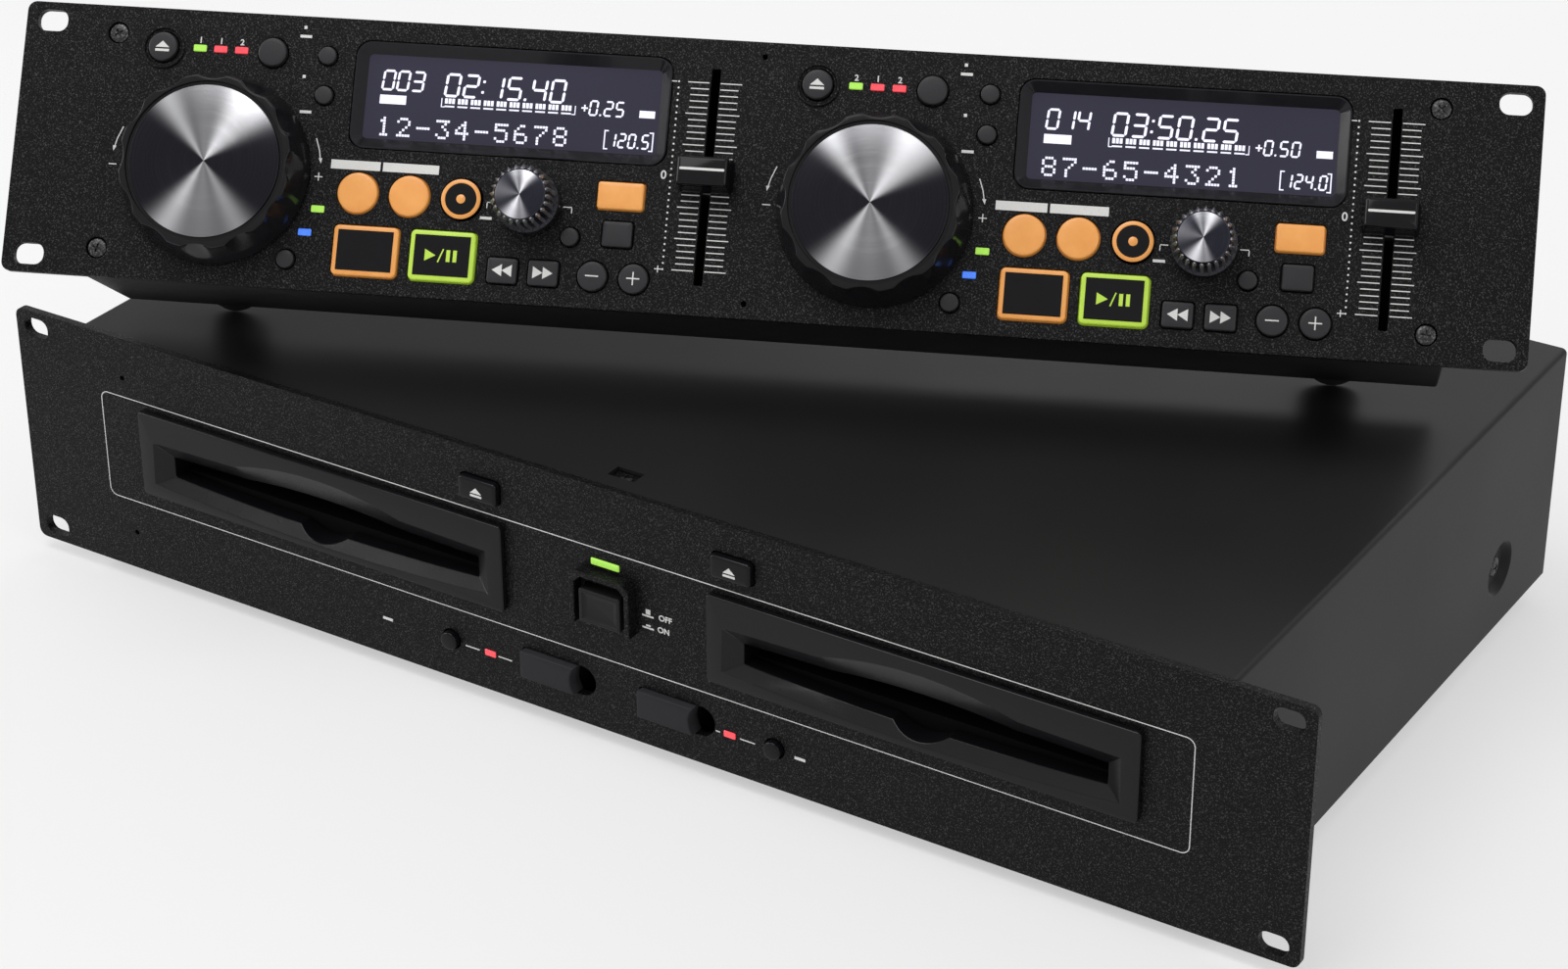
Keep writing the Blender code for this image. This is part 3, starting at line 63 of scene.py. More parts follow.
def player_frame():
    low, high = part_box("player_panel")
    return Matrix.Translation((0.0, low.y + GUARD_PROUD, low.z))


def control_frame():
    wheels = [Vector(joints[f"jog_wheel_{deck}_turn"]["pos_m"]) for deck in DECKS]
    across = (wheels[1] - wheels[0]).normalized()
    back = -Vector(joints["jog_wheel_1_turn"]["axis"]).normalized()
    up = across.cross(back)
    corner = wheels[0] - across * (DECK_MIDDLES[0] + JOG_PLACE[0]) - up * JOG_PLACE[1]
    turn = Matrix((across, back, up)).transposed().to_4x4()
    return Matrix.Translation(corner) @ turn


PLAYER = player_frame()
CONTROL = control_frame()


def local_box(node, unit):
    """The lowest and highest corners of a CAD node, along the axes of its unit's panel."""
    inverse = unit.inverted()
    corners = [inverse @ vertex.co for vertex in frame["nodes"][node].data.vertices]
    low = Vector(min(corner[axis] for corner in corners) for axis in range(3))
    high = Vector(max(corner[axis] for corner in corners) for axis in range(3))
    return low, high


# Camera: a long lens above the player's right end, as the photograph was taken. Its place is
# measured in the player's panel frame.
CAMERA_PLACE = (0.5885, -0.8238, 0.6445)
CAMERA_AIM = (-0.4696, 0.7402, -0.4812)
CAMERA_UP = (-0.2549, 0.4081, 0.8766)
CAMERA_LENS_MM = 86.2

aim = Vector(CAMERA_AIM).normalized()
right = aim.cross(Vector(CAMERA_UP)).normalized()
turn = Matrix((right, right.cross(aim), -aim)).transposed().to_4x4()
camera = bpy.data.objects.new("camera", bpy.data.cameras.new("camera"))
camera.data.lens = CAMERA_LENS_MM
camera.data.sensor_width = 36.0
camera.data.clip_start = 0.01
camera.matrix_world = Matrix.Translation(PLAYER @ Vector(CAMERA_PLACE)) @ turn
bpy.context.scene.collection.objects.link(camera)
bpy.context.scene.camera = camera
bpy.context.scene.view_settings.view_transform = "Standard"


# Finishes: numbers on a node tree are written as sums. Each finish is a Principled shader whose
# colour, roughness and bump are made from such sums of fine noise, in metres on the piece.
class Sum:
    """A number on a wire of a node tree; sums and products of it add Math nodes."""

    def __init__(self, tree, socket):
        self.tree = tree
        self.socket = socket

    def math(self, operation, *values, clamp=False):
        node = self.tree.nodes.new("ShaderNodeMath")
        node.operation = operation
        node.use_clamp = clamp
        for place, value in zip(node.inputs, values):
            if isinstance(value, Sum):
                self.tree.links.new(value.socket, place)
            else:
                place.default_value = value
        return Sum(self.tree, node.outputs[0])

    def __add__(self, other):
        return self.math("ADD", self, other)

    def __radd__(self, other):
        return self.math("ADD", other, self)

    def __sub__(self, other):
        return self.math("SUBTRACT", self, other)

    def __rsub__(self, other):
        return self.math("SUBTRACT", other, self)

    def __mul__(self, other):
        return self.math("MULTIPLY", self, other)

    def __rmul__(self, other):
        return self.math("MULTIPLY", other, self)

    def __truediv__(self, other):
        return self.math("DIVIDE", self, other)

    def __pow__(self, other):
        return self.math("POWER", self, other)

    def __gt__(self, other):
        return self.math("GREATER_THAN", self, other)

    def held(self):
        """The number, kept between 0 and 1."""
        return self.math("ADD", self, 0.0, clamp=True)


def set_or_link(tree, socket, value):
    if isinstance(value, Sum):
        tree.links.new(value.socket, socket)
    else:
        socket.default_value = value


class Finish:
    """A material whose patterns lie on the piece's own coordinates."""

    def __init__(self, name, colour, roughness, metallic=0.0, **constants):
        self.material = bpy.data.materials.new(name)
        self.material.use_nodes = True
        self.tree = self.material.node_tree
        self.shader = self.tree.nodes["Principled BSDF"]
        self.place = self.node("ShaderNodeTexCoord").outputs["Object"]
        self.shader.inputs["Base Color"].default_value = (*colour, 1.0)
        self.shader.inputs["Roughness"].default_value = roughness
        self.shader.inputs["Metallic"].default_value = metallic
        for socket, value in constants.items():
            self.shader.inputs[socket.replace("_", " ")].default_value = value
        self.material.diffuse_color = (*colour, 1.0)

    def node(self, kind, settings=None, values=None):
        node = self.tree.nodes.new(kind)
        for name, value in (settings or {}).items():
            setattr(node, name, value)
        for name, value in (values or {}).items():
            set_or_link(self.tree, node.inputs[name], value)
        return node

    def noise(self, scale, detail=2.0, roughness=0.5, stretch=None):
        """Noise of so many waves a metre."""
        node = self.node("ShaderNodeTexNoise", None, {"Scale": scale, "Detail": detail})
        node.inputs["Roughness"].default_value = roughness
        source = self.place
        if stretch:
            mapping = self.node("ShaderNodeMapping", None, {"Scale": stretch})
            self.tree.links.new(source, mapping.inputs["Vector"])
            source = mapping.outputs["Vector"]
        self.tree.links.new(source, node.inputs["Vector"])
        return Sum(self.tree, node.outputs["Fac"])

    def colour(self, share, first, second):
        """A base colour between two, by a share that varies over the surface."""
        mix = self.node("ShaderNodeMix", {"data_type": "RGBA"})
        set_or_link(self.tree, mix.inputs[0], share)
        mix.inputs[6].default_value = (*first, 1.0)
        mix.inputs[7].default_value = (*second, 1.0)
        self.tree.links.new(mix.outputs[2], self.shader.inputs["Base Color"])

    def vary(self, socket, number):
        self.tree.links.new(number.socket, self.shader.inputs[socket])

    def bump(self, height, depth):
        """Raises the surface by a height from 0 to 1, of so many metres."""
        node = self.node("ShaderNodeBump", None, {"Distance": depth, "Height": height})
        self.tree.links.new(node.outputs["Normal"], self.shader.inputs["Normal"])


# Floor and light: a plain pale floor, a large soft lamp overhead in front, soft boxes on both sides
# and a strip behind, which draw the long soft gleams on the black housings.
FLOOR_SIZE = 9.0
FLOOR_COLOUR = (0.90, 0.90, 0.90)
FLOOR_GLOW = 0.5
WORLD_LEVEL = 0.36
BACKDROP_LEVEL = 0.80
LAMPS = {
    "overhead": ((-0.25, -0.45, 1.60), (1.2, 0.8), 11.0),
    "right_box": ((1.45, -0.35, 0.85), (0.8, 0.8), 3.0),
    "left_box": ((-1.40, -0.80, 0.72), (0.7, 0.9), 9.0),
    "back_strip": ((0.15, 1.25, 0.95), (2.0, 0.5), 6.0),
}


def seen_rays(tree):
    """1 where the camera, a mirror or glass looks at the background, and 0 for its light."""
    path = tree.nodes.new("ShaderNodeLightPath")
    rays = [Sum(tree, path.outputs[f"Is {ray} Ray"]) for ray in ("Camera", "Glossy", "Transmission")]
    return (rays[0] + rays[1] + rays[2]).held()


floor_mesh = bpy.data.meshes.new("floor")
work = bmesh.new()
bmesh.ops.create_grid(work, x_segments=1, y_segments=1, size=FLOOR_SIZE / 2)
work.to_mesh(floor_mesh)
work.free()
floor = bpy.data.objects.new("floor", floor_mesh)
bpy.context.scene.collection.objects.link(floor)
floor_finish = Finish("pale_floor", FLOOR_COLOUR, 0.7)
floor_finish.bump(floor_finish.noise(900.0), 0.00002)
glow = floor_finish.node("ShaderNodeEmission", None, {"Color": (1.0, 1.0, 1.0, 1.0), "Strength": 1.0})
shown = floor_finish.node("ShaderNodeMixShader", None, {"Fac": seen_rays(floor_finish.tree) * FLOOR_GLOW})
floor_finish.tree.links.new(floor_finish.shader.outputs[0], shown.inputs[1])
floor_finish.tree.links.new(glow.outputs[0], shown.inputs[2])
floor_finish.tree.links.new(shown.outputs[0], floor_finish.tree.nodes["Material Output"].inputs["Surface"])
floor_mesh.materials.append(floor_finish.material)

world = bpy.data.worlds.new("studio")
bpy.context.scene.world = world
world.use_nodes = True
backdrop = world.node_tree.nodes["Background"]
backdrop.inputs["Color"].default_value = (1.0, 1.0, 1.0, 1.0)
strength = seen_rays(world.node_tree) * (BACKDROP_LEVEL - WORLD_LEVEL) + WORLD_LEVEL
world.node_tree.links.new(strength.socket, backdrop.inputs["Strength"])

for name, (place, size, power) in LAMPS.items():
    lamp = bpy.data.lights.new(name, "AREA")
    lamp.shape = "RECTANGLE"
    lamp.size, lamp.size_y = size
    lamp.energy = power
    holder = bpy.data.objects.new(name, lamp)
    holder.location = place
    holder.rotation_euler = (Vector((0.0, 0.0, 0.1)) - holder.location).to_track_quat("-Z", "Y").to_euler()
    bpy.context.scene.collection.objects.link(holder)


# Panels of both units: 3 mm aluminium with rounded corners, rack slots in the ears and an opening
# for every key, all with a fine broken edge, under black paint with a sparkling grain.
PANEL_WIDTH = 0.4826
PANEL_HEIGHT = 0.0882
PANEL_THICKNESS = 0.0030
PANEL_CORNER = 0.0030
BROKEN_EDGE = 0.00022
EAR_SLOT = (0.0100, 0.0070)
EAR_SLOT_INSET = 0.00875
EAR_SLOT_EDGE = 0.0060
KEY_GAP = 0.0004
FLANGE_LAP = 0.0013  # of a CAD key's flange round its cap
ROUND = 48
FINE_CORNER = 6


def arc(radius, start, end, steps, x=0.0, z=0.0):
    turn = (end - start) / steps
    return [
        (x + radius * math.cos(start + turn * step), z + radius * math.sin(start + turn * step))
        for step in range(steps + 1)
    ]


def circle(radius, steps=ROUND, x=0.0, z=0.0):
    return arc(radius, 0.0, math.tau, steps, x, z)[:-1]


def rounded(width, height, corner, x=0.0, z=0.0, steps=FINE_CORNER):
    across, up = width / 2 - corner, height / 2 - corner
    outline = []
    for quarter, (side, top) in enumerate(((1, 1), (-1, 1), (-1, -1), (1, -1))):
        start = quarter * math.pi / 2
        outline += arc(corner, start, start + math.pi / 2, steps, x + side * across, z + top * up)
    return outline


def moved(outline, x, z):
    return [(px + x, pz + z) for px, pz in outline]


def plain_mesh(item, name):
    """What an object's modifiers or curve settings make, as a mesh; the object is removed."""
    bpy.context.view_layer.update()
    graph = bpy.context.evaluated_depsgraph_get()
    mesh = bpy.data.meshes.new_from_object(item.evaluated_get(graph))
    mesh.name = name
    bpy.data.objects.remove(item, do_unlink=True)
    return mesh


def linked(name, data):
    item = bpy.data.objects.new(name, data)
    bpy.context.scene.collection.objects.link(item)
    return item


def cut_plate(name, edge, holes, front, back, bevel=BROKEN_EDGE):
    """A plate with holes, whose edges are all broken, from a filled and bevelled curve."""
    curve = bpy.data.curves.new(name, "CURVE")
    curve.dimensions = "2D"
    curve.fill_mode = "BOTH"
    curve.extrude = (back - front) / 2 - bevel
    curve.bevel_depth = bevel
    curve.bevel_resolution = 1
    curve.offset = -bevel
    for outline in (edge, *(hole[::-1] for hole in holes)):
        spline = curve.splines.new("POLY")
        spline.points.add(len(outline) - 1)
        for point, (x, z) in zip(spline.points, outline):
            point.co = (x, z, 0.0, 1.0)
        spline.use_cyclic_u = True
    mesh = plain_mesh(linked(name, curve), name)
    upright = Matrix.Translation((0.0, (front + back) / 2, 0.0)) @ Matrix.Rotation(math.pi / 2, 4, "X")
    mesh.transform(upright)
    work = bmesh.new()
    work.from_mesh(mesh)
    bmesh.ops.remove_doubles(work, verts=work.verts, dist=0.000001)
    bmesh.ops.recalc_face_normals(work, faces=work.faces)
    work.to_mesh(mesh)
    work.free()
    return mesh


def loft(name, levels):
    """A closed shape through outlines of as many points, each given with its depth."""
    work = bmesh.new()
    rings = [[work.verts.new((x, depth, z)) for x, z in outline] for outline, depth in levels]
    for back, front in zip(rings, rings[1:]):
        for index, corner in enumerate(back):
            ahead = (index + 1) % len(back)
            work.faces.new((corner, back[ahead], front[ahead], front[index]))
    work.faces.new(rings[0])
    work.faces.new(rings[-1])
    bmesh.ops.recalc_face_normals(work, faces=work.faces)
    mesh = bpy.data.meshes.new(name)
    work.to_mesh(mesh)
    work.free()
    return mesh


def piece(name, mesh, finish, unit, body, nodes=(), slot=None, sharp=32):
    """Places a mesh in its unit's frame, gives it its finish and lets it ride on its body."""
    mesh.transform(unit)
    if not mesh.materials:
        mesh.materials.append(finish.material)
    mesh.shade_smooth()
    mesh.set_sharp_from_angle(angle=math.radians(sharp))
    item = linked(name, mesh)
    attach(item, body)
    if nodes:
        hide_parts(*nodes)
    return item


def together(name, meshes):
    """Several meshes as one."""
    work = bmesh.new()
    for mesh in meshes:
        work.from_mesh(mesh)
    whole = bpy.data.meshes.new(name)
    work.to_mesh(whole)
    work.free()
    return whole


def cap_box(node, unit):
    """Middle, width and height of a CAD key's cap, without the flange behind the panel."""
    low, high = local_box(node, unit)
    middle = (low + high) / 2
    size = high - low
    return middle.x, middle.z, size.x - 2 * FLANGE_LAP, size.z - 2 * FLANGE_LAP, -low.y


def panel_paint():
    """Black paint with fine metal flakes in it, a little uneven in its gloss."""
    paint = Finish("panel_paint", (0.012, 0.012, 0.013), 0.42, Specular_IOR_Level=0.11)
    skewed = paint.node("ShaderNodeMapping", None, {"Rotation": (0.5, 0.7, 0.3)})
    paint.tree.links.new(paint.place, skewed.inputs["Vector"])
    paint.place = skewed.outputs["Vector"]
    grain = paint.noise(2000.0, 2.0, 0.6)
    flakes = ((grain - 0.54) * 8.0).held()
    cloud = paint.noise(24.0, 3.0)
    paint.colour(flakes * (0.8 + 0.2 * cloud), (0.0028, 0.0028, 0.0032), (0.065, 0.065, 0.067))
    paint.vary("Metallic", flakes * 0.8)
    paint.vary("Roughness", 0.40 + 0.10 * cloud - 0.10 * flakes)
    paint.bump(grain, 0.00010)
    return paint


PANEL_PAINT = panel_paint()


def panel_edge():
    return rounded(PANEL_WIDTH, PANEL_HEIGHT, PANEL_CORNER, 0.0, PANEL_HEIGHT / 2)


def ear_slots():
    width, height = EAR_SLOT
    across = PANEL_WIDTH / 2 - EAR_SLOT_INSET
    return [
        rounded(width, height, height / 2 - KEY_GAP, side * across, level)
        for side in (-1, 1)
        for level in (EAR_SLOT_EDGE, PANEL_HEIGHT - EAR_SLOT_EDGE)
    ]


ROUND_KEYS = {
    "eject_key": "key_plastic",
    "source_key": "key_plastic",
    "time_key": "key_plastic",
    "display_key": "key_plastic",
    "jog_mode_key": "key_plastic",
    "back_key": "key_plastic",
    "loop_in_key": "amber_key",
    "loop_out_key": "amber_key",
    "reloop_key": "gloss_black",
    "bend_down_key": "key_plastic",
    "bend_up_key": "key_plastic",
}
SQUARE_KEYS = {
    "cue_key": ("amber_key", 0.0016),
    "play_key": ("green_key", 0.0016),
    "tempo_lock_key": ("amber_key", 0.0009),
    "tempo_range_key": ("key_plastic", 0.0009),
    "search_back_key": ("key_plastic", 0.0009),
    "search_on_key": ("key_plastic", 0.0009),
}
DISPLAY_CORNER = 0.0050
FADER_SLOT = (0.0028, 0.0690)
FADER_CENTRE = (0.0650, 0.0441)
EJECT_RING = (0.0071, 0.0059)
EJECT_RING_PROUD = 0.0007
PIN_HOLE_RADIUS = 0.0009
PIN_HOLE_EDGE = 0.0048
SCREW_PLACES = [(side * 0.2102, level) for side in (-1, 1) for level in (0.0092, 0.0793)]
SCREW_RADIUS = 0.0031


def control_holes():
    holes = ear_slots()
    holes += [circle(PIN_HOLE_RADIUS, 16, 0.0, level) for level in (PIN_HOLE_EDGE, PANEL_HEIGHT - PIN_HOLE_EDGE)]
    holes += [circle(SCREW_RADIUS + KEY_GAP, 32, x, z) for x, z in SCREW_PLACES]
    for deck, middle in zip(DECKS, DECK_MIDDLES):
        for name in ROUND_KEYS:
            x, z, width, _, _ = cap_box(f"{name}_{deck}", CONTROL)
            holes.append(circle(width / 2 + KEY_GAP, ROUND, x, z))
        for name, (_, corner) in SQUARE_KEYS.items():
            x, z, width, height, _ = cap_box(f"{name}_{deck}", CONTROL)
            holes.append(rounded(width + 2 * KEY_GAP, height + 2 * KEY_GAP, corner + KEY_GAP, x, z))
        low, high = local_box(f"display_{deck}", CONTROL)
        lap = 0.0020 - 0.0003
        size = high - low
        holes.append(
            rounded(size.x - 2 * lap, size.z - 2 * lap, DISPLAY_CORNER, (low.x + high.x) / 2, (low.z + high.z) / 2)
        )
        width, height = FADER_SLOT
        holes.append(rounded(width, height, KEY_GAP, middle + FADER_CENTRE[0], FADER_CENTRE[1], 3))
    return holes


def raised_ring(name, outer, inner, proud, x, z):
    """A round rim that stands out of a panel, with a soft top edge."""
    soft = (outer - inner) / 4
    levels = [
        (circle(outer, ROUND, x, z), PANEL_THICKNESS / 2),
        (circle(outer, ROUND, x, z), -proud + soft),
        (circle(outer - soft, ROUND, x, z), -proud),
        (circle(inner + soft, ROUND, x, z), -proud),
        (circle(inner, ROUND, x, z), -proud + soft),
        (circle(inner, ROUND, x, z), PANEL_THICKNESS / 2),
    ]
    return tube(name, levels)


def tube(name, levels):
    """A ring shape: a loft whose last outline joins back to its first."""
    mesh = loft(name, levels)
    work = bmesh.new()
    work.from_mesh(mesh)
    caps = [face for face in work.faces if len(face.verts) == len(levels[0][0])]
    bmesh.ops.delete(work, geom=caps, context="FACES_ONLY")
    rims = [edge for edge in work.edges if edge.is_boundary]
    bmesh.ops.bridge_loops(work, edges=rims)
    bmesh.ops.recalc_face_normals(work, faces=work.faces)
    work.to_mesh(mesh)
    work.free()
    return mesh


def ear_seats(ear):
    """The rear of each ear stands out a little, where it bears on the rack."""
    width = ear - 0.0022
    seats = []
    for side in (-1, 1):
        across = side * (PANEL_WIDTH / 2 - 0.0005 - width / 2)
        edge = rounded(width, PANEL_HEIGHT - 0.0010, PANEL_CORNER, across, PANEL_HEIGHT / 2)
        slots = [slot for slot in ear_slots() if slot[0][0] * side > 0]
        seats.append(cut_plate("seat", edge, slots, PANEL_THICKNESS - 0.0002, PANEL_THICKNESS + 0.0003, 0.0001))
    return seats


control_plate = cut_plate("control_plate", panel_edge(), control_holes(), 0.0, PANEL_THICKNESS)
rings = []
for deck in DECKS:
    x, z, _, _, _ = cap_box(f"eject_key_{deck}", CONTROL)
    rings.append(raised_ring("eject_ring", *EJECT_RING, EJECT_RING_PROUD, x, z))
piece(
    "control_front",
    together("control_front", [control_plate, *rings, *ear_seats(0.0248)]),
    PANEL_PAINT,
    CONTROL,
    "control_unit",
    ["control_panel"],
    "panel_paint",
    12,
)


# Printing on the control panel: thin white ink. The tempo scales are ticks and dots repeated by
# geometry nodes; the other marks are lines, plain numbers and signs.
INK_PROUD = 0.00006


def ink_finish(name, colour):
    """Printed ink, slightly thin in places."""
    paint = Finish(name, colour, 0.55)
    thin = paint.noise(3000.0, 3.0)
    paint.colour(((thin - 0.60) * 5.0).held(), colour, tuple(0.6 * part for part in colour))
    return paint


WHITE_INK = ink_finish("white_ink", (0.80, 0.80, 0.78))


def ink(polygons, front=0.0, proud=INK_PROUD):
    """Flat marks on a face at the given depth."""
    return together("ink", [loft("mark", [(outline, front), (outline, front - proud)]) for outline in polygons])


def bar(x1, z1, x2, z2, width):
    """A straight stroke between two points."""
    along = Vector((x2 - x1, z2 - z1)).normalized() * width / 2
    return [
        (x1 + along.y, z1 - along.x),
        (x2 + along.y, z2 - along.x),
        (x2 - along.y, z2 + along.x),
        (x1 - along.y, z1 + along.x),
    ]


def lettering(text, height, x, z, front=0.0):
    """Plain figures whose middle is at a place on a face."""
    curve = bpy.data.curves.new("lettering", "FONT")
    curve.body = text
    curve.extrude = INK_PROUD / 2
    curve.offset = 0.02
    mesh = plain_mesh(linked("lettering", curve), "lettering")
    corners = [vertex.co for vertex in mesh.vertices]
    low = Vector(min(corner[axis] for corner in corners) for axis in range(3))
    high = Vector(max(corner[axis] for corner in corners) for axis in range(3))
    size = height / (high.y - low.y)
    middle = (low + high) / 2
    mesh.transform(
        Matrix.Translation((x, front - INK_PROUD / 2, z))
        @ Matrix.Rotation(math.pi / 2, 4, "X")
        @ Matrix.Diagonal((size, size, 1.0, 1.0))
        @ Matrix.Translation(-middle)
    )
    return mesh


def sign(kind, x, z, size, width):
    """A plus or minus of the given length."""
    half = size / 2
    level = bar(x - half, z, x + half, z, width)
    if kind == "-":
        return [level]
    upper = bar(x, z + width / 2, x, z + half, width)
    lower = bar(x, z - half, x, z - width / 2, width)
    return [level, upper, lower]


def repeat_group():
    """Geometry nodes that repeat a shape along a step, or round an axis across the panel."""
    group = bpy.data.node_groups.new("repeat", "GeometryNodeTree")
    inputs = {
        "Shape": "NodeSocketGeometry",
        "Count": "NodeSocketInt",
        "Step": "NodeSocketVector",
        "Turn": "NodeSocketFloat",
        "Finish": "NodeSocketMaterial",
    }
    for name, kind in inputs.items():
        group.interface.new_socket(name, in_out="INPUT", socket_type=kind)
    group.interface.new_socket("Shape", in_out="OUTPUT", socket_type="NodeSocketGeometry")
    given = group.nodes.new("NodeGroupInput")
    points = group.nodes.new("GeometryNodeMeshLine")
    group.links.new(given.outputs["Count"], points.inputs["Count"])
    group.links.new(given.outputs["Step"], points.inputs["Offset"])
    index = Sum(group, group.nodes.new("GeometryNodeInputIndex").outputs[0])
    angle = index * Sum(group, given.outputs["Turn"])
    turned_by = group.nodes.new("ShaderNodeCombineXYZ")
    group.links.new(angle.socket, turned_by.inputs["Y"])
    placed = group.nodes.new("GeometryNodeInstanceOnPoints")
    group.links.new(points.outputs["Mesh"], placed.inputs["Points"])
    group.links.new(given.outputs["Shape"], placed.inputs["Instance"])
    group.links.new(turned_by.outputs[0], placed.inputs["Rotation"])
    real = group.nodes.new("GeometryNodeRealizeInstances")
    group.links.new(placed.outputs[0], real.inputs[0])
    coated = group.nodes.new("GeometryNodeSetMaterial")
    group.links.new(real.outputs[0], coated.inputs["Geometry"])
    group.links.new(given.outputs["Finish"], coated.inputs["Material"])
    made = group.nodes.new("NodeGroupOutput")
    group.links.new(coated.outputs[0], made.inputs[0])
    return group


REPEAT = repeat_group()


def repeated(shape, count, finish, step=(0.0, 0.0, 0.0), turn=0.0):
    item = linked("repeated", shape)
    modifier = item.modifiers.new("repeat", "NODES")
    modifier.node_group = REPEAT
    sockets = {socket.name: socket.identifier for socket in REPEAT.interface.items_tree if socket.in_out == "INPUT"}
    modifier[sockets["Count"]] = count
    modifier[sockets["Step"]] = step
    modifier[sockets["Turn"]] = turn
    modifier[sockets["Finish"]] = finish.material
    return plain_mesh(item, "repeated")


TICK_PITCH = 0.0020
TICKS_PER_SIDE = 15
LONG_TICKS = (-3, -2, -1, 0, 1, 2, 3)
LINE = 0.00032


def tempo_scale(middle):
    """Ticks on both sides of the fader's slot, and the column of dots beside them."""
    x, z = middle + FADER_CENTRE[0], FADER_CENTRE[1]
    lowest = z - TICKS_PER_SIDE * TICK_PITCH
    count = 2 * TICKS_PER_SIDE + 1
    step = (0.0, 0.0, TICK_PITCH)
    shapes = []
    for start, end in ((-0.0077, -0.0019), (0.0017, 0.0075)):
        tick = ink([bar(x + start, lowest, x + end, lowest, LINE)])
        shapes.append(repeated(tick, count, WHITE_INK, step))
    dot = ink([circle(LINE, 8, x - 0.0116, lowest)])
    shapes.append(repeated(dot, count, WHITE_INK, step))
    long_bars = []
    for number in LONG_TICKS:
        level = z + number * 5 * TICK_PITCH
        long_bars.append(bar(x - 0.0087, level, x - 0.0077, level, LINE))
        long_bars.append(bar(x + 0.0075, level, x + 0.0085, level, LINE))
    long_bars += sign("-", x - 0.0131, z + TICKS_PER_SIDE * TICK_PITCH, 0.0018, LINE)
    long_bars += sign("+", x - 0.0131, lowest, 0.0022, LINE)
    shapes.append(ink(long_bars))
    shapes.append(lettering("0", 0.0028, x - 0.0139, z))
    return shapes


def jog_arrows(x):
    """Lines that say which way to turn the wheel, with their signs."""
    shapes = []
    for side, near, far in ((-1, -0.0318, -0.0341), (1, 0.0319, 0.0338)):
        middle = (near + far) / 2 + side * 0.0004
        shapes.append(bar(x + near, 0.0489, x + middle, 0.0452, LINE))
        shapes.append(bar(x + middle, 0.0452, x + far, 0.0424, LINE))
        head = (x + far + side * 0.0003, 0.0409)
        shapes.append([head, (x + far + 0.0006, 0.0426), (x + far - 0.0006, 0.0426)])
    shapes += sign("-", x - 0.0342, 0.0366, 0.0026, LINE)
    shapes += sign("+", x + 0.0338, 0.0366, 0.0026, LINE)
    return shapes


marks = []
for deck, middle in zip(DECKS, DECK_MIDDLES):
    marks += tempo_scale(middle)
    flat_marks = jog_arrows(middle + JOG_PLACE[0])
    for x, z in ((-0.0687, 0.0845), (-0.0677, 0.0686)):
        flat_marks.append(bar(middle + x - 0.0005, z, middle + x + 0.0005, z, 0.0010))
    for x, z in ((-0.0683, 0.0816), (-0.0661, 0.0572), (-0.0044, 0.0267)):
        flat_marks.append(bar(middle + x - 0.0019, z, middle + x + 0.0019, z, 0.0009))
    for x, z, width in ((-0.0480, 0.0410, 0.0161), (-0.0300, 0.0410, 0.0182)):
        flat_marks.append(bar(middle + x - width / 2, z, middle + x + width / 2, z, 0.0029))
    for corner, reach in ((0.0229, 0.0201), (-0.0044, -0.0019)):
        flat_marks.append(bar(middle + corner, 0.0318, middle + reach, 0.0318, LINE))
        flat_marks.append(bar(middle + corner, 0.0316, middle + corner, 0.0299, LINE))
    marks.append(ink(flat_marks))
    for text, x in ((str(deck), -0.1027), ("1", -0.0959), ("2", -0.0890)):
        marks.append(lettering(text, 0.0020, middle + x, 0.0785))
piece("control_marks", together("control_marks", marks), WHITE_INK, CONTROL, "control_unit")


# Control panel lamps: small clear lenses, a little proud of the paint, lit from behind.
LENS = (0.0043, 0.0022)
LENS_PROUD = 0.0004


def lamp_finish(name, colour, strength):
    """A lit lens: bright in the middle of its cloudy plastic."""
    lens = Finish(name, colour, 0.25, Coat_Weight=0.4)
    cloud = lens.noise(900.0, 2.0)
    lens.colour(cloud, colour, tuple(min(1.0, part + 0.10) for part in colour))
    lens.shader.inputs["Emission Color"].default_value = (*colour, 1.0)
    lens.shader.inputs["Emission Strength"].default_value = strength
    return lens


GREEN_LAMP = lamp_finish("green_lamp", (0.32, 0.66, 0.05), 0.5)
RED_LAMP = lamp_finish("red_lamp", (0.80, 0.03, 0.05), 0.6)
BLUE_LAMP = lamp_finish("blue_lamp", (0.03, 0.17, 0.80), 0.6)


def lens_mesh(x, z, width=LENS[0], height=LENS[1], proud=LENS_PROUD):
    corner = 0.0004
    edge = proud / 2
    return loft(
        "lens",
        [
            (rounded(width, height, corner, x, z), PANEL_THICKNESS / 2),
            (rounded(width, height, corner, x, z), -proud + edge),
            (rounded(width - 2 * edge, height - 2 * edge, corner - edge / 2, x, z), -proud),
        ],
    )


CONTROL_LAMPS = {
    "green": (GREEN_LAMP, ((-0.1027, 0.0758), (-0.0590, 0.0262))),
    "red": (RED_LAMP, ((-0.0959, 0.0758), (-0.0890, 0.0758))),
    "blue": (BLUE_LAMP, ((-0.0625, 0.0185),)),
}
for name, (finish, places) in CONTROL_LAMPS.items():
    lenses = [lens_mesh(middle + x, z) for middle in DECK_MIDDLES for x, z in places]
    piece(f"control_{name}_lamps", together("lenses", lenses), finish, CONTROL, "control_unit")


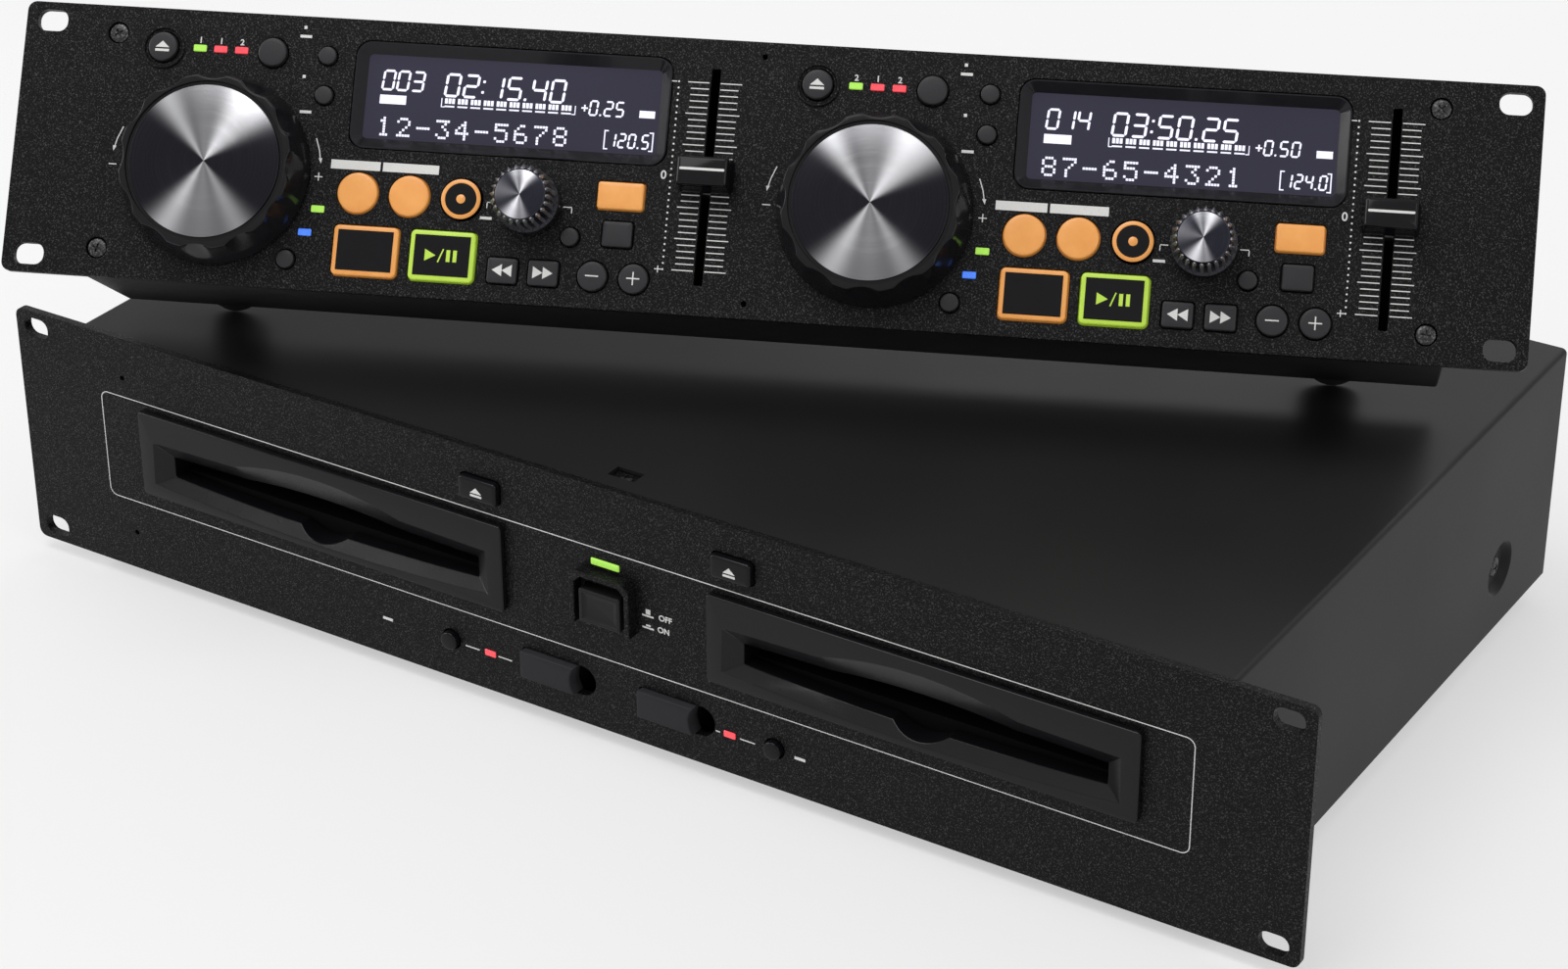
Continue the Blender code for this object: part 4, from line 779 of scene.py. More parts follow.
# Screws: domed black heads with a cross, set just under the paint in the panel.
def screw_finish():
    """Black zinc, rubbed bright on its edges."""
    zinc = Finish("black_zinc", (0.05, 0.05, 0.052), 0.34, 0.9)
    rubbed = zinc.noise(1500.0, 3.0)
    zinc.colour(((rubbed - 0.5) * 4.0).held(), (0.035, 0.035, 0.037), (0.16, 0.16, 0.16))
    zinc.vary("Roughness", 0.28 + 0.2 * rubbed)
    zinc.bump(rubbed, 0.00002)
    return zinc


BLACK_ZINC = screw_finish()


def turned_mesh(name, profile, steps=ROUND, x=0.0, z=0.0):
    """A solid turned about an axis across the panel, through (radius, depth) from back to front."""
    work = bmesh.new()
    rings = []
    for radius, depth in profile:
        if radius:
            rings.append([work.verts.new((px, depth, pz)) for px, pz in circle(radius, steps, x, z)])
        else:
            rings.append([work.verts.new((x, depth, z))])
    for back, front in zip(rings, rings[1:]):
        for index in range(steps):
            ahead = (index + 1) % steps
            corners = []
            for ring, places in ((back, (index, ahead)), (front, (ahead, index))):
                corners += [ring[place] for place in places] if len(ring) > 1 else [ring[0]]
            if len(corners) > 2:
                work.faces.new(corners)
    for ring in (rings[0], rings[-1]):
        if len(ring) > 1:
            work.faces.new(ring)
    bmesh.ops.recalc_face_normals(work, faces=work.faces)
    mesh = bpy.data.meshes.new(name)
    work.to_mesh(mesh)
    work.free()
    return mesh


def quarter(radius, depth, edge, steps=4, sink=1.0):
    """Profile points round an outer edge, from its wall to its face at the given depth."""
    return [
        (
            radius - edge * (1 - math.cos(step / steps * math.pi / 2)),
            depth + sink * edge * (1 - math.sin(step / steps * math.pi / 2)),
        )
        for step in range(steps + 1)
    ]


def cut(mesh, *tools, operation="DIFFERENCE"):
    """Takes each tool out of a mesh with an exact Boolean."""
    item = linked("work", mesh)
    helpers = []
    for tool in tools:
        helper = linked("tool", tool)
        boolean = item.modifiers.new("cut", "BOOLEAN")
        boolean.operation = operation
        boolean.solver = "EXACT"
        boolean.object = helper
        helpers.append(helper)
    result = plain_mesh(item, mesh.name)
    for helper in helpers:
        bpy.data.objects.remove(helper, do_unlink=True)
    return result


def screw_head(radius, dome, cross):
    """A domed head about the origin, whose rim is at depth 0, with a cross recess."""
    profile = [(0.0, 0.0015), (radius, 0.0015), (radius, 0.0)]
    profile += [
        (radius * math.cos(step / 5 * math.pi / 2), -dome * math.sin(step / 5 * math.pi / 2))
        for step in range(1, 5)
    ]
    profile.append((0.0, -dome))
    head = turned_mesh("screw", profile, 32)
    half = cross / 10
    level = loft("slot", [(rounded(cross, 2 * half, half / 2), 0.0006), (rounded(cross, 2 * half, half / 2), -0.01)])
    upright = loft("slot", [(rounded(2 * half, cross, half / 2), 0.0006), (rounded(2 * half, cross, half / 2), -0.01)])
    return cut(head, level, upright)


def placed_copies(mesh, matrices):
    copies = []
    for matrix in matrices:
        copy = mesh.copy()
        copy.transform(matrix)
        copies.append(copy)
    return together(mesh.name, copies)


panel_screw = screw_head(SCREW_RADIUS, 0.0005, 0.0030)
places = [
    Matrix.Translation((x, 0.0006, z)) @ Matrix.Rotation(number * 0.7 + 0.3, 4, "Y")
    for number, (x, z) in enumerate(SCREW_PLACES)
]
piece("control_screws", placed_copies(panel_screw, places), BLACK_ZINC, CONTROL, "control_unit")


# Displays: a glossy moulded frame slopes down to a dark blue window; its segments glow.
DISPLAY_LAP = 0.0020
WINDOW_SINK = 0.0026
FRAME_SLOPE = 0.0030
FRAME_LIP = 0.0006


def gloss_finish(name, colour, roughness=0.12):
    """Polished plastic with a faint waviness and fine wear."""
    gloss = Finish(name, colour, roughness, Specular_IOR_Level=0.15, Coat_Weight=0.05)
    haze = gloss.noise(350.0, 4.0)
    gloss.colour(haze, colour, tuple(1.6 * part for part in colour))
    gloss.vary("Roughness", roughness + 0.10 * haze)
    gloss.bump(gloss.noise(120.0, 1.0), 0.00002)
    return gloss


def window_finish():
    surface = {"Specular_IOR_Level": 0.12, "Coat_Weight": 0.35, "Coat_Roughness": 0.04}
    glass = Finish("display_glass", (0.027, 0.024, 0.048), 0.45, **surface)
    cloud = glass.noise(14.0, 1.0)
    glass.colour(cloud, (0.019, 0.017, 0.035), (0.035, 0.032, 0.061))
    glass.bump(glass.noise(60.0, 1.0), 0.00001)
    return glass


def glow_finish():
    glow = Finish("display_segments", (0.80, 0.80, 0.92), 0.5)
    glow.shader.inputs["Emission Color"].default_value = (0.78, 0.78, 0.95, 1.0)
    glow.shader.inputs["Emission Strength"].default_value = 0.55
    faint = glow.noise(700.0, 2.0)
    glow.colour(faint, (0.70, 0.70, 0.82), (0.85, 0.85, 0.96))
    return glow


FRAME_GLOSS = gloss_finish("display_frame", (0.012, 0.012, 0.014))
WINDOW = window_finish()
GLOW = glow_finish()

SEGMENTS = {
    "0": "abcdef", "1": "bc", "2": "abdeg", "3": "abcdg", "4": "bcfg",
    "5": "acdfg", "6": "acdefg", "7": "abc", "8": "abcdefg", "9": "abcdfg",
}


def segment(x1, z1, x2, z2, width):
    """A stroke with pointed ends, a little short of its corners."""
    along = Vector((x2 - x1, z2 - z1)).normalized()
    start = Vector((x1, z1)) + along * width * 0.12
    end = Vector((x2, z2)) - along * width * 0.12
    across = Vector((along.y, -along.x)) * width / 2
    tip = along * width / 2
    return [start, start + tip + across, end - tip + across, end, end - tip - across, start + tip - across]


def numerals(text, x, z, width, height, stroke, pitch):
    """Slanted seven-segment figures from a lower left corner, as outlines."""
    outlines = []
    for character in text:
        if character == " ":
            x += pitch
            continue
        left, right, low, high = stroke / 2, width - stroke / 2, stroke / 2, height - stroke / 2
        middle = height / 2
        strokes = {
            "a": (left, high, right, high), "b": (right, high, right, middle),
            "c": (right, middle, right, low), "d": (left, low, right, low),
            "e": (left, middle, left, low), "f": (left, high, left, middle),
            "g": (left, middle, right, middle),
        }
        shapes = [segment(*strokes[name], stroke) for name in SEGMENTS.get(character, "")]
        shift = pitch
        if character in ":.":
            levels = (0.28, 0.72) if character == ":" else (0.08,)
            shapes = [rounded(stroke, stroke, stroke / 4, stroke / 2, height * level, 2) for level in levels]
            shift = pitch * 0.34
        outlines += [[(x + px + 0.10 * pz, z + pz) for px, pz in outline] for outline in shapes]
        x += shift
    return outlines


DOTS = {
    "0": (14, 17, 19, 21, 25, 17, 14), "1": (4, 12, 4, 4, 4, 4, 14), "2": (14, 17, 1, 2, 4, 8, 31),
    "3": (31, 2, 4, 2, 1, 17, 14), "4": (2, 6, 10, 18, 31, 2, 2), "5": (31, 16, 30, 1, 1, 17, 14),
    "6": (6, 8, 16, 30, 17, 17, 14), "7": (31, 1, 2, 4, 8, 8, 8), "8": (14, 17, 17, 14, 17, 17, 14),
    "9": (14, 17, 17, 15, 1, 2, 12), "-": (0, 0, 0, 31, 0, 0, 0),
}
DOT_PITCH = 0.00089
DOT_SIZE = 0.00076


def dot_row(text, x, z, pitch):
    """Figures of five by seven dots each, from a lower left corner."""
    outlines = []
    for number, character in enumerate(text):
        for row, bits in enumerate(DOTS.get(character, ())):
            for column in range(5):
                if bits >> (4 - column) & 1:
                    px = x + number * pitch + (column + 0.5) * DOT_PITCH
                    pz = z + (6.5 - row) * DOT_PITCH
                    outlines.append(bar(px - DOT_SIZE / 2, pz, px + DOT_SIZE / 2, pz, DOT_SIZE))
    return outlines


def display_segments(x, z, readings):
    """Everything that glows in one window, about its middle."""
    track, time, tempo, beats, row = readings
    z -= 0.06405
    outlines = numerals(track, x - 0.0430, z + 0.0662, 0.0042, 0.0068, 0.00075, 0.0048)
    outlines += numerals(time, x - 0.0225, z + 0.0652, 0.0050, 0.0078, 0.00085, 0.0060)
    outlines += sign("+", x + 0.0235, z + 0.0643, 0.0021, 0.0005)
    outlines += numerals(tempo, x + 0.0247, z + 0.0619, 0.0029, 0.0051, 0.0006, 0.0036)
    outlines += numerals(beats, x + 0.0316, z + 0.0521, 0.0026, 0.0049, 0.0006, 0.0032)
    outlines += dot_row(row, x - 0.0430, z + 0.0515, 0.00635)
    outlines.append(bar(x - 0.0430, z + 0.06335, x - 0.0344, z + 0.06335, 0.0029))
    outlines.append(bar(x + 0.0412, z + 0.06335, x + 0.0462, z + 0.06335, 0.0023))
    for side, end in ((-1, 0.0307), (1, 0.0462)):
        outlines.append(bar(x + end, z + 0.0515, x + end, z + 0.0577, 0.0004))
        for level in (0.0517, 0.0575):
            outlines.append(bar(x + end, z + level, x + end - side * 0.0012, z + level, 0.0004))
    for end, reach in ((-0.0228, 0.0011), (0.0205, -0.0011)):
        outlines.append(bar(x + end, z + 0.0619, x + end, z + 0.0648, 0.0003))
        outlines.append(bar(x + end, z + 0.0620, x + end + reach, z + 0.0620, 0.0003))
    shapes = [ink(outlines, WINDOW_SINK, 0.00004)]
    group = [bar(x - 0.0213 + step * 0.00115, z + 0.0631, x - 0.0213 + step * 0.00115, z + 0.0648, 0.0009) for step in range(3)]
    group.append(bar(x - 0.02175, z + 0.0622, x - 0.01855, z + 0.0622, 0.0005))
    shapes.append(repeated(ink(group, WINDOW_SINK, 0.00004), 10, GLOW, (0.0042, 0.0, 0.0)))
    return shapes


READINGS = {
    1: ("003", "02:15.40", "0.25", "120.5", "12-34-5678"),
    2: ("014", "03:50.25", "0.50", "124.0", "87-65-4321"),
}
for deck in DECKS:
    low, high = local_box(f"display_{deck}", CONTROL)
    x, z = (low.x + high.x) / 2, (low.z + high.z) / 2
    width, height = high.x - low.x - 2 * DISPLAY_LAP, high.z - low.z - 2 * DISPLAY_LAP

    def frame_outline(margin):
        return rounded(width + 2 * margin, height + 2 * margin, DISPLAY_CORNER + margin, x, z, 8)

    floor_margin = -FRAME_LIP - FRAME_SLOPE
    levels = [
        (frame_outline(floor_margin), WINDOW_SINK + 0.0010),
        (frame_outline(DISPLAY_LAP), PANEL_THICKNESS + 0.0003),
        (frame_outline(0.0), PANEL_THICKNESS + 0.0003),
        (frame_outline(0.0), -0.0001),
        (frame_outline(-0.0002), -0.0003),
        (frame_outline(-FRAME_LIP + 0.0001), -0.0003),
        (frame_outline(-FRAME_LIP), -0.0002),
        (frame_outline(floor_margin + 0.0003), WINDOW_SINK - 0.0003),
        (frame_outline(floor_margin), WINDOW_SINK),
    ]
    body = "control_unit"
    piece(f"display_frame_{deck}", tube("display_frame", levels), FRAME_GLOSS, CONTROL, body, [f"display_{deck}"])
    window_levels = [(frame_outline(floor_margin), WINDOW_SINK + 0.0009), (frame_outline(floor_margin), WINDOW_SINK)]
    piece(f"window_{deck}", loft("window", window_levels), WINDOW, CONTROL, body, (), "display_glass")
    segments = together("segments", display_segments(x, z, READINGS[deck]))
    piece(f"segments_{deck}", segments, GLOW, CONTROL, body)


# Keys: moulded caps with soft edges, each through its hole and held by a flange behind the panel.
# The loop, cue, play and tempo keys are translucent and lit from inside.
KEY_BACK = PANEL_THICKNESS + 0.0003


def satin_finish(name, colour, roughness=0.42, bump=0.00002, gloss=0.35):
    """Moulded plastic with a fine texture, shinier where it is touched."""
    satin = Finish(name, colour, roughness, Specular_IOR_Level=gloss)
    grain = satin.noise(1800.0, 3.0)
    touched = satin.noise(90.0, 2.0)
    satin.colour(touched, colour, tuple(1.45 * part for part in colour))
    satin.vary("Roughness", roughness - 0.10 * touched + 0.08 * grain)
    satin.bump(grain, bump)
    return satin


def lit_finish(name, dark, bright, glow, strength):
    """Translucent plastic with a lamp behind it: cloudy, and brighter in patches."""
    lit = Finish(name, bright, 0.35, Coat_Weight=0.3, Coat_Roughness=0.2)
    cloud = lit.noise(160.0, 3.0)
    lit.colour(cloud, dark, bright)
    lit.shader.inputs["Emission Color"].default_value = (*glow, 1.0)
    lit.shader.inputs["Emission Strength"].default_value = strength
    lit.bump(lit.noise(1500.0, 2.0), 0.00001)
    return lit


KEY_PLASTIC = satin_finish("key_plastic", (0.018, 0.018, 0.020), gloss=0.28)
AMBER = lit_finish("amber_key", (0.68, 0.25, 0.05), (0.86, 0.42, 0.12), (1.0, 0.40, 0.07), 0.19)
GREEN = lit_finish("green_key", (0.36, 0.54, 0.04), (0.54, 0.76, 0.09), (0.55, 0.85, 0.05), 0.22)
GLOSS_BLACK = gloss_finish("gloss_black", (0.004, 0.004, 0.005), 0.10)
KEY_FINISHES = {
    "key_plastic": KEY_PLASTIC,
    "amber_key": AMBER,
    "green_key": GREEN,
    "gloss_black": GLOSS_BLACK,
}


def cap_mesh(name, outline, proud, edge, crown=0.0001):
    """A key from its outline, given as a function of the margin round the cap."""
    levels = [
        (outline(FLANGE_LAP), KEY_BACK + 0.0012),
        (outline(FLANGE_LAP), KEY_BACK),
        (outline(0.0), KEY_BACK),
    ]
    levels += [(outline(radius), depth) for radius, depth in quarter(0.0, -proud, edge, 5)]
    levels.append((outline(-edge - 0.0008), -proud - crown))
    return loft(name, levels)


def round_outline(x, z, radius):
    return lambda margin: circle(radius + margin, ROUND, x, z)


def square_outline(x, z, width, height, corner):
    def outline(margin):
        return rounded(width + 2 * margin, height + 2 * margin, max(corner + margin, 0.0001), x, z)

    return outline


def arrows(x, z, size, way):
    """Two solid arrowheads one after the other."""
    return [
        [(x + way * (start + size), z), (x + way * start, z + size * 0.6), (x + way * start, z - size * 0.6)]
        for start in (-size, 0.0)
    ]


def eject_sign(x, z, size):
    """A triangle over a bar."""
    return [
        [(x - size, z - 0.15 * size), (x + size, z - 0.15 * size), (x, z + 0.75 * size)],
        bar(x - size, z - 0.55 * size, x + size, z - 0.55 * size, 0.35 * size),
    ]


def play_sign(x, z, size):
    """An arrowhead, a stroke and two bars."""
    return [
        [(x - 2.0 * size, z - 0.7 * size), (x - 0.7 * size, z), (x - 2.0 * size, z + 0.7 * size)],
        bar(x - 0.4 * size, z - 0.8 * size, x + 0.2 * size, z + 0.8 * size, 0.16 * size),
        bar(x + 0.8 * size, z - 0.7 * size, x + 0.8 * size, z + 0.7 * size, 0.45 * size),
        bar(x + 1.6 * size, z - 0.7 * size, x + 1.6 * size, z + 0.7 * size, 0.45 * size),
    ]


KEY_SIGNS = {
    "eject_key": lambda x, z: eject_sign(x, z, 0.0023),
    "search_back_key": lambda x, z: arrows(x, z, 0.0032, -1),
    "search_on_key": lambda x, z: arrows(x, z, 0.0032, 1),
    "bend_down_key": lambda x, z: sign("-", x, z, 0.0042, 0.0004),
    "bend_up_key": lambda x, z: sign("+", x, z, 0.0042, 0.0004),
}
for deck in DECKS:
    for name, finish in ROUND_KEYS.items():
        node = f"{name}_{deck}"
        x, z, width, _, proud = cap_box(node, CONTROL)
        edge = 0.0007 if width > 0.007 else 0.0005
        mesh = cap_mesh(name, round_outline(x, z, width / 2), proud - 0.0001, edge)
        piece(f"{node}_cap", mesh, KEY_FINISHES[finish], CONTROL, node, [node], finish)
        if name in KEY_SIGNS:
            piece(f"{node}_sign", ink(KEY_SIGNS[name](x, z), -proud), WHITE_INK, CONTROL, node)
        if name == "reloop_key":
            top = -proud + 0.0001
            lit = [(circle(radius, ROUND, x, z), depth) for radius, depth in
                   ((0.00635, 0.0), (0.00635, top), (0.0060, top - 0.0002), (0.0052, top - 0.0002), (0.0050, top), (0.0050, 0.0))]
            dot = turned_mesh("dot", [(0.0016, 0.0), (0.0016, top), (0.0013, top - 0.0002), (0.0, top - 0.00025)], 32, x, z)
            piece(f"{node}_light", together("light", [tube("ring", lit), dot]), AMBER, CONTROL, node)
    for name, (finish, corner) in SQUARE_KEYS.items():
        node = f"{name}_{deck}"
        x, z, width, height, proud = cap_box(node, CONTROL)
        outline = square_outline(x, z, width, height, corner)
        mesh = cap_mesh(name, outline, proud - 0.0001, 0.0006)
        piece(f"{node}_cap", mesh, KEY_FINISHES[finish], CONTROL, node, [node], finish)
        if name in KEY_SIGNS:
            piece(f"{node}_sign", ink(KEY_SIGNS[name](x, z), -proud), WHITE_INK, CONTROL, node)
        if name in ("cue_key", "play_key"):
            face = [
                (outline(-0.0015), -proud + 0.0006),
                (outline(-0.0015), -proud - 0.0001),
                (outline(-0.0017), -proud - 0.0003),
            ]
            piece(f"{node}_face", loft("face", face), GLOSS_BLACK, CONTROL, node)
        if name == "play_key":
            piece(f"{node}_sign", ink(play_sign(x, z, 0.0027), -proud - 0.0003), GREEN, CONTROL, node)


# Jog wheels: glossy black wheels with twelve finger scoops round the wall, a groove, and a spun
# metal plate. The plate's fans of light are painted in, with fine rings round its middle.
JOG_SCOOPS = 12
STEPS_PER_SCOOP = 18
SCOOP_SHARE = 2 / 3
SCOOP_DEPTH = 0.0016
JOG_GAP = 0.0010
JOG_EDGE = 0.0007
JOG_LAND = 0.0023
JOG_GROOVE = 0.0012


def spun_finish(name, painted_fans, dark, bright):
    """Turned metal: painted fans of reflected light from the middle, and fine rings. Its UV is in metres."""
    metal = Finish(name, bright, 0.26, 1.0)
    metal.place = metal.node("ShaderNodeTexCoord").outputs["UV"]
    parts = metal.node("ShaderNodeSeparateXYZ")
    metal.tree.links.new(metal.place, parts.inputs[0])
    u, v = Sum(metal.tree, parts.outputs[0]), Sum(metal.tree, parts.outputs[1])
    radius = u.math("SQRT", u * u + v * v)
    angle = u.math("ARCTAN2", v, u)
    # The painted reflection: fans of lighter colour from the middle, each towards one angle.
    light = u * 0.0
    for degrees, sharpness, strength in painted_fans:
        facing = angle.math("MAXIMUM", angle.math("COSINE", angle - math.radians(degrees)), 0.0)
        light = light + strength * facing ** sharpness
    line = metal.node("ShaderNodeCombineXYZ")
    metal.tree.links.new(radius.socket, line.inputs[0])
    rings_noise = metal.node("ShaderNodeTexNoise", None, {"Scale": 9000.0, "Detail": 2.0})
    metal.tree.links.new(line.outputs[0], rings_noise.inputs["Vector"])
    fine = Sum(metal.tree, rings_noise.outputs["Fac"])
    metal.colour((light + 0.10 * (fine - 0.5)).held(), dark, bright)
    metal.vary("Roughness", 0.22 + 0.16 * fine)
    metal.bump(fine, 0.00003)
    return metal


def with_plan_uv(mesh, x, z):
    """Gives a mesh a UV map of its places across and up the panel, from a centre, in metres."""
    layer = mesh.uv_layers.new(name="plan")
    for loop in mesh.loops:
        corner = mesh.vertices[loop.vertex_index].co
        layer.data[loop.index].uv = (corner.x - x, corner.z - z)
    return mesh


# The jog plate's fans of painted reflection, as angle, sharpness and strength, between a dark and a light colour.
JOG_PLATE = spun_finish(
    "jog_plate",
    ((126, 60, 0.42), (95, 14, 0.22), (60, 26, 0.75), (42, 60, 0.25), (243, 45, 0.50), (274, 12, 0.22), (304, 60, 0.28)),
    (0.014, 0.014, 0.018),
    (0.88, 0.88, 0.91),
)
JOG_GLOSS = gloss_finish("jog_plastic", (0.007, 0.007, 0.008), 0.14)


def scooped_outline(x, z, radius, depth):
    """A circle with so deep a scoop in each twelfth."""
    outline = []
    count = JOG_SCOOPS * STEPS_PER_SCOOP
    for index in range(count):
        from_middle = abs((index / STEPS_PER_SCOOP + 0.5) % 1 - 0.5)
        reach = from_middle / (SCOOP_SHARE / 2)
        inset = radius - depth * max(0.0, 1 - reach * reach)
        angle = math.tau * index / count
        outline.append((x + inset * math.cos(angle), z + inset * math.sin(angle)))
    return outline


for deck, middle in zip(DECKS, DECK_MIDDLES):
    node = f"jog_wheel_{deck}"
    x, z = middle + JOG_PLACE[0], JOG_PLACE[1]
    low, high = local_box(node, CONTROL)
    height, foot, crest = -low.y, (high.x - low.x) / 2, 0.0280
    body_levels = [(scooped_outline(x, z, foot - 0.0006, 0.0), -JOG_GAP)]
    wall = height - JOG_EDGE
    steps = 10
    for step in range(steps + 1):
        share = step / steps
        depth = JOG_GAP + 0.0004 + share * (wall - JOG_GAP - 0.0004)
        scoop = SCOOP_DEPTH * max(0.0, (share - 0.30) / 0.70)
        body_levels.append((scooped_outline(x, z, foot + share * (crest + 0.0001 - foot), scoop), -depth))
    for radius, depth in quarter(crest + 0.0001, -height, JOG_EDGE, 4)[1:]:
        body_levels.append((scooped_outline(x, z, radius, SCOOP_DEPTH * 0.9), depth))
    land = crest - JOG_LAND
    body_levels += [
        (scooped_outline(x, z, land + 0.0001, 0.0), -height),
        (scooped_outline(x, z, land, 0.0), -height + 0.0001),
        (scooped_outline(x, z, land - 0.0002, 0.0), -height + 0.0009),
        (scooped_outline(x, z, land - JOG_GROOVE, 0.0), -height + 0.0009),
    ]
    hub = turned_mesh("hub", [(0.008, 0.0053), (0.008, 0.0033), (0.006, 0.0033), (0.006, -JOG_GAP - 0.0004)], 32, x, z)
    wheel = together("jog_wheel", [loft("jog_wheel", body_levels), hub])
    piece(f"jog_body_{deck}", wheel, JOG_GLOSS, CONTROL, node, [node], "jog_plastic", 24)
    plate_radius = land - JOG_GROOVE
    plate = [(plate_radius, -height + 0.0010)] + quarter(plate_radius, -height + 0.0002, 0.0003, 3)
    plate += [(share * plate_radius, -height + 0.0002) for share in (0.6, 0.3, 0.1)] + [(0.0, -height + 0.0002)]
    plate_mesh = with_plan_uv(turned_mesh("jog_plate", plate, 96, x, z), x, z)
    piece(f"jog_plate_{deck}", plate_mesh, JOG_PLATE, CONTROL, node)


# Tempo faders: a glossy cap with hollow sides and a white line, on a flat steel lever that comes
# out of the slot; the carriage slides behind the panel.
def steel_finish(name, colour=(0.45, 0.45, 0.44), roughness=0.32):
    steel = Finish(name, colour, roughness, 1.0)
    drawn = steel.noise(900.0, 3.0, 0.6, (1.0, 12.0, 1.0))
    steel.colour(drawn, tuple(0.75 * part for part in colour), colour)
    steel.vary("Roughness", roughness + 0.16 * drawn)
    steel.bump(drawn, 0.00002)
    return steel


STEEL = steel_finish("shaft_steel")
CAP_LEVELS = (
    (-0.0009, -0.0008), (-0.0013, -0.0002), (-0.0018, 0.0), (-0.0034, 0.0), (-0.0042, -0.0004),
    (-0.0056, -0.00095), (-0.0072, -0.0011), (-0.0090, -0.0009), (-0.0100, -0.0007), (-0.0107, -0.0008),
    (-0.0112, -0.0012), (-0.0115, -0.0018),
)
for deck, middle in zip(DECKS, DECK_MIDDLES):
    node = f"tempo_fader_{deck}"
    x, z = middle + FADER_CENTRE[0], FADER_CENTRE[1]

    def cap_outline(margin, width=0.0178, height=0.0108, corner=0.0016):
        return rounded(width + 2 * margin, height + 2 * margin, max(corner + margin, 0.0004), x, z)

    cap = loft("fader_cap", [(cap_outline(margin), depth) for depth, margin in CAP_LEVELS])
    piece(f"fader_cap_{deck}", cap, GLOSS_BLACK, CONTROL, node, [node], "gloss_black", 50)
    line = ink([rounded(0.0142, 0.0008, 0.00035, x, z + 0.0004, 3)], -0.0115)
    piece(f"fader_line_{deck}", line, WHITE_INK, CONTROL, node)
    lever = loft("lever", [(rounded(0.0016, 0.0060, 0.0002, x, z), depth) for depth in (0.0034, -0.0012)])
    carriage = loft("carriage", [(rounded(0.0080, 0.0100, 0.0004, x, z), depth) for depth in (0.0093, 0.0033)])
    piece(f"fader_lever_{deck}", together("lever", [lever, carriage]), STEEL, CONTROL, node)


# Selectors: dark metal knobs whose pointed teeth are repeated round the wall by geometry nodes,
# with a spun face. The teeth are a lighter copy of the knob's metal, a painted glint, and the face's
# fans of light are painted in. Each sits on its push-and-turn shaft.
KNOB_METAL = satin_finish("knob_plastic", (0.030, 0.030, 0.036), 0.26)
KNOB_METAL.shader.inputs["Metallic"].default_value = 0.8
# Painted highlight: the teeth are a much lighter copy of the knob's dark metal, so that they glint.
TEETH_PAINTED_GLINT = satin_finish("teeth_painted_glint", (0.38, 0.38, 0.40), 0.30)
TEETH_PAINTED_GLINT.shader.inputs["Metallic"].default_value = 0.9
# The knob face's fans of painted reflection, as on the jog plates.
KNOB_FACE = spun_finish(
    "knob_face",
    ((72, 24, 0.95), (108, 60, 0.35), (250, 18, 0.95), (285, 60, 0.30), (170, 10, 0.16)),
    (0.022, 0.022, 0.032),
    (0.85, 0.85, 0.90),
)
KNOB_TEETH = 24
for deck, middle in zip(DECKS, DECK_MIDDLES):
    node = f"selector_knob_{deck}"
    low, high = local_box(node, CONTROL)
    x, z = (low.x + high.x) / 2, (low.z + high.z) / 2
    height = -low.y
    root = 0.0092
    pitch = math.tau / KNOB_TEETH
    tooth_levels = []
    for depth, tip in ((-0.0050, 0.0100), (-0.0056, 0.0104), (height * -0.84, 0.0101), (-height + 0.0012, 0.0094), (-height + 0.0004, 0.0086)):
        inner = min(root, tip - 0.0004) - 0.0006
        half = pitch * 0.40
        tooth_levels.append((
            [
                (inner * math.cos(-half), inner * math.sin(-half)),
                (tip, 0.0),
                (inner * math.cos(half), inner * math.sin(half)),
            ],
            depth,
        ))
    teeth = repeated(loft("tooth", tooth_levels), KNOB_TEETH, TEETH_PAINTED_GLINT, turn=pitch)
    teeth.transform(Matrix.Translation((x, 0.0, z)))
    piece(f"knob_teeth_{deck}", teeth, TEETH_PAINTED_GLINT, CONTROL, node, (), None, 24)
    profile = [(0.0033, -0.0123), (0.0033, -0.0018), (0.0036, -0.0016), (0.0102, -0.0016), (0.0104, -0.0018)]
    profile += [(0.0104, -0.0046), (0.0102, -0.0050), (root, -0.0052), (root, -height * 0.84)]
    profile += [(0.0082, -height + 0.0004), (0.0079, -height + 0.0001), (0.0077, -height + 0.0001)]
    body = turned_mesh("knob_body", profile, ROUND, x, z)
    piece(f"knob_{deck}", body, KNOB_METAL, CONTROL, node, [node], "knob_plastic", 24)
    face = turned_mesh("knob_face", [(0.0078, -height + 0.0003)] + quarter(0.0078, -height, 0.0002, 3) + [(0.0040, -height), (0.0010, -height), (0.0, -height)], 64, x, z)
    piece(f"knob_face_{deck}", with_plan_uv(face, x, z), KNOB_FACE, CONTROL, node)

    node = f"selector_shaft_{deck}"
    profile = [(0.0030, 0.0108), (0.0030, 0.0048), (0.0048, 0.0048), (0.0048, 0.0033), (0.0030, 0.0033), (0.0030, -0.0117), (0.0027, -0.0120)]
    piece(f"shaft_{deck}", turned_mesh("shaft", profile, 32, x, z), STEEL, CONTROL, node, [node], "shaft_steel")


# Control unit housing: a folded black steel tray, with four rubber feet and two link sockets on
# its back.
def folded_steel(name, colour):
    """Black powder paint on folded sheet: a fine orange peel and slightly uneven gloss."""
    coat = Finish(name, colour, 0.40, Specular_IOR_Level=0.10)
    peel = coat.noise(1100.0, 2.0)
    cloud = coat.noise(18.0, 3.0)
    coat.colour(cloud, colour, tuple(1.35 * part for part in colour))
    coat.vary("Roughness", 0.34 + 0.10 * cloud + 0.06 * peel)
    coat.bump(peel, 0.000012)
    return coat


def rubber_finish(name, colour):
    rubber = Finish(name, colour, 0.75, Specular_IOR_Level=0.25)
    worn = rubber.noise(500.0, 4.0)
    rubber.colour(worn, colour, tuple(1.7 * part for part in colour))
    rubber.vary("Roughness", 0.62 + 0.2 * worn)
    rubber.bump(worn, 0.00004)
    return rubber


